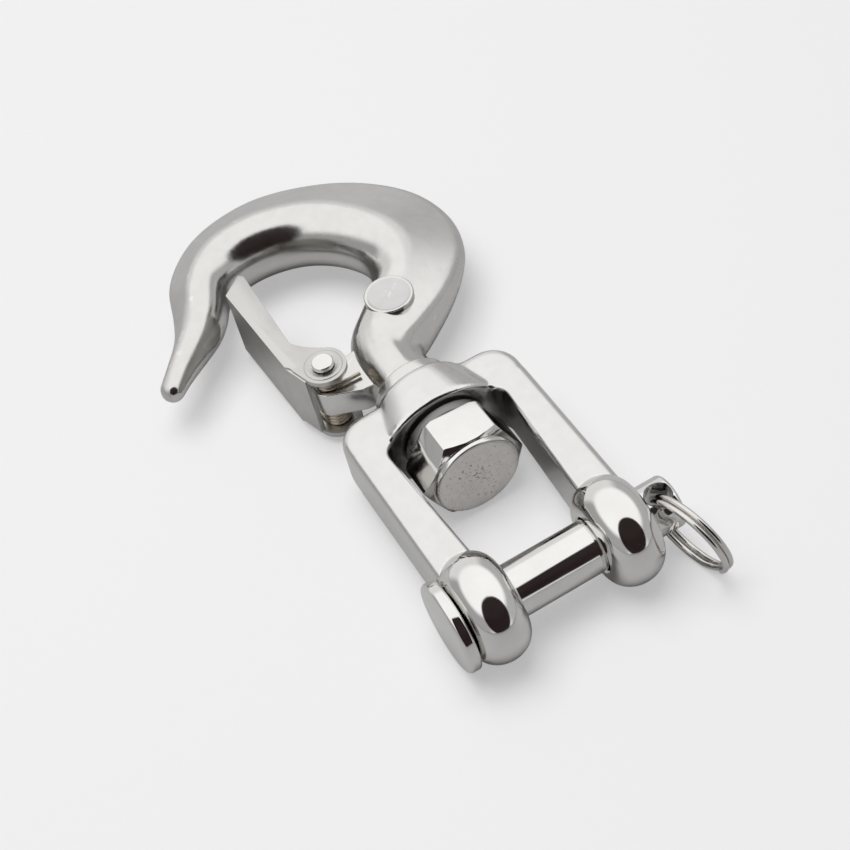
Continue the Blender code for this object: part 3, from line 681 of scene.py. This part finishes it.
def make_clevis_pin(polished):
    """Headed pin: slightly crowned head, rounded edges, chamfered end and a cross hole."""
    near = PIN_HEAD_NEAR_Y
    far = near + PIN_HEAD_THICKNESS
    edge = PIN_HEAD_EDGE
    crown = PIN_HEAD_CROWN
    back = PIN_HEAD_BACK_EDGE
    end = PIN_END_EDGE
    profile = [(PIN_END_Y, 0.0)]
    profile += [(PIN_END_Y + end * (1 - math.sin(a)), PIN_RADIUS - end + end * math.cos(a))
                for a in [math.radians(90 - 11.25 * i) for i in range(9)]]
    profile += [(near - 0.35, PIN_RADIUS), (near - 0.1, PIN_RADIUS + 0.1), (near, PIN_RADIUS + 0.35)]
    profile += [(near, PIN_HEAD_RADIUS - back)]
    profile += [(near + back * (1 - math.cos(a)), PIN_HEAD_RADIUS - back + back * math.sin(a))
                for a in [math.radians(15 * i) for i in range(1, 7)]]
    profile += [(far - crown - edge + edge * math.sin(a), PIN_HEAD_RADIUS - edge + edge * math.cos(a))
                for a in [math.radians(9 * i) for i in range(9)]]
    rim = PIN_HEAD_RADIUS - edge
    profile += [(far - crown * (index / 8) ** 2, rim * index / 8) for index in range(8, -1, -1)]
    pin = turned(profile, "Y")
    reach = CROSS_HOLE_AXIS * (PIN_RADIUS + 0.25)
    cross_hole = bar(CROSS_HOLE_RADIUS, CROSS_HOLE - reach, CROSS_HOLE + reach, CROSS_HOLE_FLARE, 64)
    pin = combined(pin, cross_hole, "DIFFERENCE")
    return seat("clevis_pin_polished", pin, "pin", "clevis_pin", "pin_steel", polished)


def wire(points, diameter, sides=WIRE_SIDES):
    """A round wire with closed ends along the points, from a bevelled curve."""
    curve = bpy.data.curves.new("wire", "CURVE")
    curve.dimensions = "3D"
    curve.bevel_depth = diameter / 2
    curve.bevel_resolution = sides
    curve.use_fill_caps = True
    spline = curve.splines.new("POLY")
    spline.points.add(len(points) - 1)
    for point, place in zip(spline.points, points):
        point.co = (*place, 1.0)
    guide = bpy.data.objects.new("wire", curve)
    bpy.context.scene.collection.objects.link(guide)
    shape = guide.to_mesh()
    bm = bmesh.new()
    bm.from_mesh(shape)
    guide.to_mesh_clear()
    bpy.data.objects.remove(guide, do_unlink=True)
    bmesh.ops.remove_doubles(bm, verts=bm.verts, dist=0.001)
    bmesh.ops.recalc_face_normals(bm, faces=bm.faces)
    return bm


def make_split_ring(wire_finish):
    """Double coil of wire, threaded through the cross hole and splayed past the pin's end."""
    hole = CROSS_HOLE_AXIS.normalized()
    across = Vector((hole.z, 0.0, -hole.x))
    outward = across * math.cos(RING_SPLAY) - Vector((0.0, 1.0, 0.0)) * math.sin(RING_SPLAY)
    upright = hole * math.cos(RING_LEAN) + hole.cross(outward) * math.sin(RING_LEAN)
    normal = upright.cross(outward)
    centre = CROSS_HOLE + outward * RING_CENTRE_REACH
    steps = round(RING_TURNS * WIRE_RINGS_PER_TURN)
    points = []
    for index in range(steps + 1):
        turn = RING_TURNS * index / steps
        angle = math.tau * (turn - RING_TURNS / 2) + RING_START
        radial = outward * math.cos(angle) + upright * math.sin(angle)
        shift = min(max((turn - RING_TURNS / 2) / RING_CROSSOVER, -0.5), 0.5)
        points.append(centre + radial * RING_RADIUS + normal * RING_TURN_PITCH * shift)
    return seat("split_ring_wire", wire(points, RING_WIRE, 7), "ring", "split_ring", "ring_wire", wire_finish)


# ---------------------------------------------------------------- swivel bolt and washer

def make_swivel_bolt(polished, pitted):
    """Hexagon head with a chamfered face, a low round step and the shank."""
    corner_radius = HEX_ACROSS_FLATS / 2 / math.cos(math.radians(30))
    front = BOLT_FACE_X + BOLT_FACE_STEP
    bolt = turned([(front, 0.0), (front, corner_radius), (HEX_BACK_X, corner_radius), (HEX_BACK_X, 0.0)],
                  "X", 6)
    bmesh.ops.rotate(bolt, verts=bolt.verts, matrix=Matrix.Rotation(HEX_TURN, 3, "X"))
    bolt = bevelled(bolt, HEX_EDGE, 3)
    chamfer_rise = (corner_radius - BOLT_FACE_RADIUS) * math.tan(math.radians(30))
    chamfer = [
        (front - 0.2, 0.0),
        (front - 0.2, BOLT_FACE_RADIUS - 0.1),
        (front + chamfer_rise, corner_radius + 0.1),
        (HEX_BACK_X - 0.9, corner_radius + 0.1),
        (HEX_BACK_X + 0.1, corner_radius - 0.9),
        (HEX_BACK_X + 0.1, 0.0),
    ]
    bolt = combined(bolt, turned(chamfer, "X"), "INTERSECT")
    bolt = bevelled(bolt, 0.12, 2, 20.0)
    rim = BOLT_FACE_EDGE
    step_and_shank = [(BOLT_FACE_X + 0.12, 0.0), (BOLT_FACE_X + 0.12, 6.9), (BOLT_FACE_X, 7.5)]
    step_and_shank += [(BOLT_FACE_X + rim * (1 - math.cos(a)), BOLT_FACE_RADIUS - rim + rim * math.sin(a))
                       for a in [math.radians(15 * i) for i in range(7)]]
    step_and_shank += [(front + 1.0, BOLT_FACE_RADIUS), (front + 1.0, SHANK_RADIUS),
                       (BOLT_END_X - BOLT_END_CHAMFER, SHANK_RADIUS),
                       (BOLT_END_X, SHANK_RADIUS - BOLT_END_CHAMFER), (BOLT_END_X, 0.0)]
    bolt = combined(bolt, turned(step_and_shank, "X"), "UNION")
    for face in bolt.faces:
        middle = face.calc_center_median()
        if middle.x < BOLT_FACE_X + 0.3 and math.hypot(middle.y, middle.z) < BOLT_FACE_RADIUS - 0.1:
            face.material_index = 1
    return seat("swivel_bolt_head", bolt, "hook", "swivel_bolt", "bolt_steel", polished, pitted, sharp=28.0)


def make_thrust_washer(polished):
    """Flat ring between the bolt head and the collar, with rounded corners."""
    far = WASHER_NEAR_X + WASHER_THICKNESS
    edge = WASHER_EDGE
    profile = [(WASHER_NEAR_X, SHANK_RADIUS + GAP), (WASHER_NEAR_X, WASHER_RADIUS - edge)]
    profile += [(WASHER_NEAR_X + edge * (1 - math.cos(a)), WASHER_RADIUS - edge + edge * math.sin(a))
                for a in [math.radians(22.5 * i) for i in range(1, 5)]]
    profile += [(far - edge + edge * math.sin(a), WASHER_RADIUS - edge + edge * math.cos(a))
                for a in [math.radians(22.5 * i) for i in range(5)]]
    profile.append((far, SHANK_RADIUS + GAP))
    return seat("thrust_washer_ring", turned(profile, "X"), "washer", "thrust_washer", "washer_steel",
                polished)


# ---------------------------------------------------------------- hook

def curve_through(rows, steps):
    """Catmull-Rom rows between the given rows, ends included."""
    last = len(rows) - 1
    smooth = []
    for index in range(last):
        before = rows[max(index - 1, 0)]
        start = rows[index]
        end = rows[index + 1]
        after = rows[min(index + 2, last)]
        for step in range(steps):
            t = step / steps
            smooth.append([
                0.5 * (2 * b + (c - a) * t + (2 * a - 5 * b + 4 * c - d) * t * t
                       + (3 * b - a - 3 * c + d) * t ** 3)
                for a, b, c, d in zip(before, start, end, after)
            ])
    smooth.append(list(rows[last]))
    return smooth


def evened(rows, rounds):
    """Average neighbouring rows a few times, with the ends kept."""
    for _ in range(rounds):
        middle = [[(a + 2 * b + c) / 4 for a, b, c in zip(*triple)]
                  for triple in zip(rows, rows[1:], rows[2:])]
        rows = [rows[0], *middle, rows[-1]]
    return rows


def half_section(width, rim_height, rim_radius, edge_height, edge_radius):
    """Upper half of a hook section, from inner to outer edge: round rim, straight taper, round edge."""
    taper = math.atan2(rim_height - edge_height, max(width - rim_radius - edge_radius, 0.1))
    taper = min(taper, math.radians(40))
    points = []
    for index in range(15):
        angle = (math.pi / 2 + taper * RIDGE_SHARE) * index / 14
        points.append((rim_radius * (1 - math.cos(angle)), rim_height * math.sin(angle)))
    for index in range(9):
        angle = taper + (math.pi / 2 - taper) * index / 8
        reach = edge_radius * math.sin(angle)
        points.append((width - edge_radius + reach, edge_height * math.cos(angle)))
    return points


def section_ring(row, shrink=1.0, advance=Vector((0.0, 0.0, 0.0))):
    """One closed hook section in space; shrink and advance make the rings of the rounded tip."""
    inner = Vector((row[0], row[1], 0.0))
    outer = Vector((row[2], row[3], 0.0))
    across = (outer - inner).normalized()
    upper = half_section((outer - inner).length, *row[4:])
    lower = [(along, -height) for along, height in reversed(upper[1:-1])]
    middle = (inner + outer) / 2
    ring = []
    for along, height in upper + lower:
        point = inner + across * along + Vector((0.0, 0.0, height))
        ring.append(middle + (point - middle) * shrink + advance)
    return ring


def hook_rings(rows):
    """All sections of the hook from the neck to the rounded tip."""
    rings = [section_ring(row) for row in rows]
    tip = rows[-1]
    across = Vector((tip[2] - tip[0], tip[3] - tip[1], 0.0)).normalized()
    forward = Vector((-across.y, across.x, 0.0))
    for degrees in range(10, 90, 10):
        angle = math.radians(degrees)
        rings.append(section_ring(tip, math.cos(angle), forward * TIP_LENGTH * math.sin(angle)))
    return rings


def lug_outline():
    """Plan of the lug: a round barrel about the latch pivot that runs back into the neck."""
    outline = list(LUG_NECK_SIDE)
    outline += arc(LATCH_PIVOT, LUG_RADIUS, math.radians(145), math.radians(-25), 40)
    outline.append(LUG_BOWL_SIDE)
    return outline


def pad_shape():
    """Round boss with a thin raised rim and a plain, slightly dished face."""
    shoulder = PAD_TOP - PAD_EDGE
    profile = [(PAD_ROOT, 0.0), (PAD_ROOT, PAD_RADIUS), (shoulder, PAD_RADIUS)]
    profile += [(shoulder + PAD_EDGE * math.sin(a), PAD_RADIUS - PAD_EDGE + PAD_EDGE * math.cos(a))
                for a in [math.radians(15 * i) for i in range(1, 7)]]
    profile += [(PAD_TOP - fall, PAD_RADIUS - inset) for fall, inset in PAD_RIM_STEPS]
    face_radius = PAD_RADIUS - PAD_FACE_INSET
    rings = PAD_FACE_RINGS
    profile += [(PAD_TOP - PAD_FACE_DEPTH + PAD_FACE_DISH * (index / rings) ** 2, face_radius * index / rings)
                for index in range(rings, -1, -1)]
    return moved(turned(profile, "Z"), PAD_CENTRE)


def flange_shape():
    """Round collar of the hook that faces the jaw, with rounded edges."""
    edge = FLANGE_EDGE
    profile = [(FLANGE_NEAR_X, 0.0), (FLANGE_NEAR_X, FLANGE_RADIUS - edge)]
    profile += [(FLANGE_NEAR_X + edge * (1 - math.cos(a)), FLANGE_RADIUS - edge + edge * math.sin(a))
                for a in [math.radians(18 * i) for i in range(1, 6)]]
    profile += [(FLANGE_FAR_X - edge + edge * math.sin(a), FLANGE_RADIUS - edge + edge * math.cos(a))
                for a in [math.radians(18 * i) for i in range(6)]]
    profile += [(FLANGE_FAR_X + 0.4, NECK_RADIUS - 0.2), (FLANGE_FAR_X + 1.2, NECK_RADIUS - 0.6),
                (FLANGE_FAR_X + 1.2, 0.0)]
    return turned(profile, "X")


def flatten_neck(bm):
    """Press a shallow flat along the top and the underside of the neck."""
    for vert in bm.verts:
        beyond = abs(vert.co.z) - NECK_FLAT_HEIGHT
        if beyond > 0.0 and vert.co.x < NECK_FLAT_END_X:
            share = 1.0 - step_between(vert.co.x, *NECK_FLAT_FADE)
            flat = NECK_FLAT_HEIGHT + beyond * NECK_FLAT_SHARE
            vert.co.z += math.copysign((flat - abs(vert.co.z)) * share, vert.co.z)
    return bm


def mark_flank(bm, rows):
    """Write how far each point lies out on the tapered flank, from 0 on the rim to 1; the pad face is 1. This
    share makes the flank matt and darkens its colour as painted shade.
    """
    tree = kdtree.KDTree(len(rows))
    for index, row in enumerate(rows):
        tree.insert((row[0], row[1], 0.0), index)
    tree.balance()
    layer = bm.verts.layers.float.new("flank")
    for vert in bm.verts:
        _, index, distance = tree.find((vert.co.x, vert.co.y, 0.0))
        rim = rows[index][5]
        near, far = FLANK_EDGE
        reach = step_between(distance, rim * near, rim * far) * step_between(vert.co.x, *FLANK_FADE)
        on_pad = vert.co.z > PAD_TOP - 0.4 and (vert.co.xy - PAD_CENTRE.xy).length < PAD_RADIUS - 0.7
        vert[layer] = 1.0 if on_pad else reach
    return bm


def make_hook(cast):
    """Cast hook with neck, flange, round pad, latch lug and the blind hole for the bolt."""
    rows = evened(curve_through(HOOK_SECTIONS, SECTION_STEPS), SECTION_SMOOTHING)
    body = fused([lofted(hook_rings(rows))], CAST_VOXEL)
    relax(body, 12)
    flatten_neck(body)
    relax(body, 3, lambda p: p.x < NECK_SMOOTH_END_X)
    lug = bevelled(plate(lug_outline(), -LUG_HALF_HEIGHT, LUG_HALF_HEIGHT), LUG_EDGE, 3)
    body = combined(body, lug, "UNION")
    body = combined(body, flange_shape(), "UNION")
    body = combined(body, pad_shape(), "UNION")
    bolt_hole = bar(SHANK_RADIUS + GAP, (FLANGE_NEAR_X - 0.5, 0, 0), (BOLT_END_X + GAP, 0, 0))
    body = combined(body, bolt_hole, "DIFFERENCE")
    lift = Vector((0.0, 0.0, LUG_HALF_HEIGHT + 0.25))
    rivet_hole = bar(RIVET_RADIUS + GAP, LATCH_PIVOT - lift, LATCH_PIVOT + lift, 0.45, 64)
    body = combined(body, rivet_hole, "DIFFERENCE")
    mark_flank(body, rows)
    return seat("hook_casting", body, "hook", "hook_body", "hook_steel", cast)


# ---------------------------------------------------------------- latch, rivet and spring

def cheek_outline():
    """Plan of one latch cheek: a straight strip that swings round into the pivot ear."""
    outline = [LATCH_TIP_INNER, LATCH_TIP_CORNER, tuple(LATCH_TIP_OUTER), tuple(LATCH_HEEL), *LATCH_NOTCH]
    outline += arc(LATCH_PIVOT, LATCH_EAR_RADIUS, math.radians(105), math.radians(322), 48)
    waist = Vector(LATCH_WAIST)
    last = Vector(outline[-1])
    bend = Vector(LATCH_THROAT)
    for index in range(1, 13):
        t = index / 12
        outline.append(tuple(last * (1 - t) ** 2 + bend * 2 * t * (1 - t) + waist * t * t))
    return outline


def web_outline():
    """Plan of the channel's web: the outer edge, bent in at the heel, one sheet thick."""
    inset = Vector((0.0, -SHEET))
    along_tab = (LATCH_TAB_END - LATCH_HEEL).normalized()
    inward = Vector((-along_tab.y, along_tab.x))
    return [tuple(p) for p in (LATCH_TIP_OUTER, LATCH_HEEL, LATCH_TAB_END,
                               LATCH_TAB_END + inward * SHEET, LATCH_HEEL + inset,
                               LATCH_TIP_OUTER + inset)]


def make_latch(sheet):
    """Pressed channel: two cheeks with coined pivot ears, joined by a web along their outer edge."""
    half = LATCH_HALF_HEIGHT
    latch = plate(web_outline(), -half + SHEET / 2, half - SHEET / 2)
    for side in (1.0, -1.0):
        low, high = sorted((side * half, side * (half - SHEET)))
        latch = combined(latch, plate(cheek_outline(), low, high), "UNION")
    latch = bevelled(latch, SHEET_EDGE, 3, 25.0)
    for side in (1.0, -1.0):
        boss = [(side * (half - 0.5), 0.0), (side * (half - 0.5), 3.75)]
        boss += [(side * (half + 0.02 + 0.16 * math.sin(a)), 3.35 + 0.4 * math.cos(a))
                 for a in [math.radians(15 * i) for i in range(7)]]
        boss += [(side * (half + 0.18), 3.0), (side * (half + 0.05), 2.75), (side * (half + 0.05), 0.0)]
        latch = combined(latch, moved(turned(boss, "Z"), LATCH_PIVOT), "UNION")
    reach = Vector((0.0, 0.0, half + 1.0))
    rivet_bore = bar(RIVET_RADIUS + GAP, LATCH_PIVOT - reach, LATCH_PIVOT + reach, 0.0, 64)
    latch = combined(latch, rivet_bore, "DIFFERENCE")
    return seat("latch_channel", latch, "latch", "latch", "latch_sheet", sheet)


def make_latch_rivet(polished):
    """Pin through the latch ears and the lug, with a low rounded head at each end."""
    near = LATCH_HALF_HEIGHT + GAP
    far = near + RIVET_HEAD_THICKNESS
    edge = RIVET_HEAD_EDGE
    upper = [(near, RIVET_RADIUS), (near, RIVET_HEAD_RADIUS)]
    upper += [(far - edge + edge * math.sin(a), RIVET_HEAD_RADIUS - edge + edge * math.cos(a))
              for a in [math.radians(15 * i) for i in range(7)]]
    upper += [(far, RIVET_HEAD_RADIUS * 0.5), (far, 0.0)]
    lower = [(-along, radius) for along, radius in reversed(upper)]
    rivet = moved(turned(lower + upper, "Z", 72), LATCH_PIVOT)
    return seat("latch_rivet_headed", rivet, "latch", "latch_rivet", "rivet_steel", polished)


def make_latch_spring(wire_finish):
    """Double torsion spring: a leg on the neck, a coil each side of the lug and a bridge on the web."""
    foot_x = LATCH_PIVOT.x - SPRING_COIL_RADIUS
    upper = [Vector((foot_x, SPRING_FOOT_Y + SPRING_FOOT_STEP * index, SPRING_INNER_Z))
             for index in range(8)]
    sweep = math.tau * SPRING_TURNS + math.pi / 2
    steps = 40 * SPRING_TURNS
    for index in range(steps + 1):
        share = index / steps
        angle = math.pi - sweep * share
        upper.append(LATCH_PIVOT + Vector((
            SPRING_COIL_RADIUS * math.cos(angle),
            SPRING_COIL_RADIUS * math.sin(angle),
            SPRING_INNER_Z + SPRING_PITCH * sweep / math.tau * share,
        )))
    outer_z = upper[-1].z
    bend = SPRING_BEND
    reach_x, web_y = SPRING_REACH
    start = upper[-1].copy()
    end = Vector((reach_x - 4.0, web_y, outer_z))
    upper += [start.lerp(end, index / 8) for index in range(1, 9)]
    for degrees in range(0, 91, 15):
        angle = math.radians(degrees)
        upper.append(Vector((
            reach_x - bend * (1 - math.sin(angle)),
            web_y,
            outer_z - bend * (1 - math.cos(angle)),
        )))
    lower = [Vector((point.x, point.y, -point.z)) for point in reversed(upper)]
    spring = seat("latch_spring_wire", wire(upper + lower, SPRING_WIRE), None, "latch_spring",
                  "spring_wire", wire_finish)
    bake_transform(spring)
    return spring


# ---------------------------------------------------------------- stage

def make_floor():
    """Pale seamless floor that glows a little in the camera's own view."""
    bm = bmesh.new()
    bmesh.ops.create_circle(bm, cap_ends=True, segments=96, radius=FLOOR_RADIUS)
    mesh = bpy.data.meshes.new("floor")
    bm.to_mesh(mesh)
    bm.free()
    floor = bpy.data.objects.new("floor", mesh)
    bpy.context.scene.collection.objects.link(floor)
    material = bpy.data.materials.new("pale_floor")
    material.use_nodes = True
    shader = material.node_tree.nodes["Principled BSDF"]
    shader.inputs["Base Color"].default_value = FLOOR_COLOUR
    shader.inputs["Roughness"].default_value = 0.55
    shader.inputs["Specular IOR Level"].default_value = 0.25
    shader.inputs["Emission Color"].default_value = (1.0, 1.0, 1.0, 1.0)
    seen = add_node(material.node_tree, "ShaderNodeLightPath").outputs["Is Camera Ray"]
    glow = maths(material.node_tree, "MULTIPLY", seen, FLOOR_GLOW)
    material.node_tree.links.new(glow, shader.inputs["Emission Strength"])
    mesh.materials.append(material)


def make_light(name, place, aim, size, power):
    """A square soft light aimed at a point; places are metres in the frame."""
    data = bpy.data.lights.new(name, "AREA")
    data.shape = "RECTANGLE"
    data.size, data.size_y = size
    data.energy = power
    lamp = bpy.data.objects.new(name, data)
    lamp.location = place
    lamp.rotation_mode = "QUATERNION"
    lamp.rotation_quaternion = (Vector(aim) - Vector(place)).to_track_quat("-Z", "Y")
    bpy.context.scene.collection.objects.link(lamp)
    return lamp


def make_world():
    """Light tent: white roof and far side, grey sides, and a wide dark opening on the near side."""
    world = bpy.data.worlds.new("light_tent")
    bpy.context.scene.world = world
    world.use_nodes = True
    tree = world.node_tree
    background = tree.nodes["Background"]
    direction = tree.nodes.new("ShaderNodeTexCoord").outputs["Generated"]
    split = add_node(tree, "ShaderNodeSeparateXYZ", Vector=direction)
    height = split.outputs["Z"]
    sideways = maths(tree, "ABSOLUTE", split.outputs["Y"])
    side_wall = remap(tree, split.outputs["Y"], -0.2, 0.2, TENT_RIGHT_WALL, TENT_LEFT_WALL)
    wall = remap(tree, sideways, TENT_SIDE_FROM, TENT_SIDE_TO, TENT_FAR_WALL, side_wall)
    roofward = remap(tree, height, TENT_WALL_TOP - WALL_BLEND, TENT_WALL_TOP + WALL_BLEND, 0.0, 1.0)
    dome = add_node(tree, "ShaderNodeMix", {"data_type": "FLOAT"}, i0=roofward, i2=wall, i3=TENT_ROOF)
    facing = add_node(tree, "ShaderNodeVectorMath", {"operation": "DOT_PRODUCT"}, i0=direction,
                      i1=tuple(OPENING_TOWARDS.normalized()))
    opening = remap(tree, facing.outputs["Value"], OPENING_EDGE, OPENING_INSIDE, 0.0, 1.0)
    left = maths(tree, "SUBTRACT", 1.0, maths(tree, "MULTIPLY", opening, OPENING_DARKNESS))
    lit = maths(tree, "MULTIPLY", dome.outputs[0], left)
    paths = add_node(tree, "ShaderNodeLightPath").outputs
    softened = add_node(tree, "ShaderNodeMix", {"data_type": "FLOAT"}, i0=paths["Is Diffuse Ray"], i2=lit,
                        i3=TENT_FILL)
    pale = add_node(tree, "ShaderNodeMix", {"data_type": "FLOAT"}, i0=paths["Is Camera Ray"],
                    i2=softened.outputs[0], i3=BACKDROP)
    warm = maths(tree, "ADD", pale.outputs[0], maths(tree, "MULTIPLY", opening, OPENING_WARMTH))
    colour = add_node(tree, "ShaderNodeCombineColor", i0=warm, i1=pale.outputs[0], i2=pale.outputs[0])
    tree.links.new(colour.outputs[0], background.inputs["Color"])


def make_camera():
    """Long lens from above the jaw end, rolled a little."""
    heading = Vector((
        math.cos(VIEW_AZIMUTH) * math.cos(VIEW_ELEVATION),
        math.sin(VIEW_AZIMUTH) * math.cos(VIEW_ELEVATION),
        -math.sin(VIEW_ELEVATION),
    ))
    level = heading.cross(Vector((0.0, 0.0, 1.0))).normalized()
    upright = level.cross(heading)
    right = level * math.cos(VIEW_ROLL) + upright * math.sin(VIEW_ROLL)
    up = upright * math.cos(VIEW_ROLL) - level * math.sin(VIEW_ROLL)
    data = bpy.data.cameras.new("camera")
    data.lens = VIEW_LENS
    data.sensor_width = 36.0
    data.clip_start = 0.01
    data.clip_end = 50.0
    camera = bpy.data.objects.new("camera", data)
    turn = Matrix((right, up, -heading)).transposed().to_4x4()
    place = PIN_MIDDLE + (VIEW_TARGET - heading * VIEW_DISTANCE) * MM
    camera.matrix_world = Matrix.Translation(place) @ turn
    bpy.context.scene.collection.objects.link(camera)
    bpy.context.scene.camera = camera


def main():
    cast = cast_steel("satin_hook_steel", (0.67, 0.66, 0.642), (0.75, 0.74, 0.72), 0.14, 0.20,
                      0.000028, "flank")
    yoke = cast_steel("satin_jaw_steel", (0.70, 0.69, 0.675), (0.77, 0.76, 0.745), 0.17, 0.23, 0.000014)
    mirror = polished_steel("mirror_steel", (0.80, 0.79, 0.77), 0.055)
    # painted shade: the washer's steel gets a very dark tint to stand for the shade it sits in behind the hex
    # head
    washer = polished_steel("washer_steel_painted_shade", (0.30, 0.29, 0.28), 0.3)
    pitted = pitted_steel("pitted_face_steel", (0.86, 0.83, 0.80), 0.30)
    sheet = sheet_steel("latch_sheet_steel", (0.62, 0.61, 0.585), 0.34)
    ring_wire = polished_steel("ring_wire_steel", (0.72, 0.70, 0.67), 0.12)
    spring_wire = polished_steel("spring_wire_steel", (0.52, 0.46, 0.38), 0.24)
    make_jaw(yoke, mirror)
    make_clevis_pin(mirror)
    make_split_ring(ring_wire)
    make_swivel_bolt(mirror, pitted)
    make_thrust_washer(washer)
    make_hook(cast)
    make_latch(sheet)
    make_latch_rivet(mirror)
    make_latch_spring(spring_wire)
    make_floor()
    make_world()
    middle = (cad_low + cad_high) / 2
    key = make_light("key_softbox", middle + KEY_OFFSET, middle, KEY_SIZE, KEY_POWER)
    key.visible_glossy = False
    make_camera()
    bpy.context.scene.view_settings.view_transform = "Standard"


main()
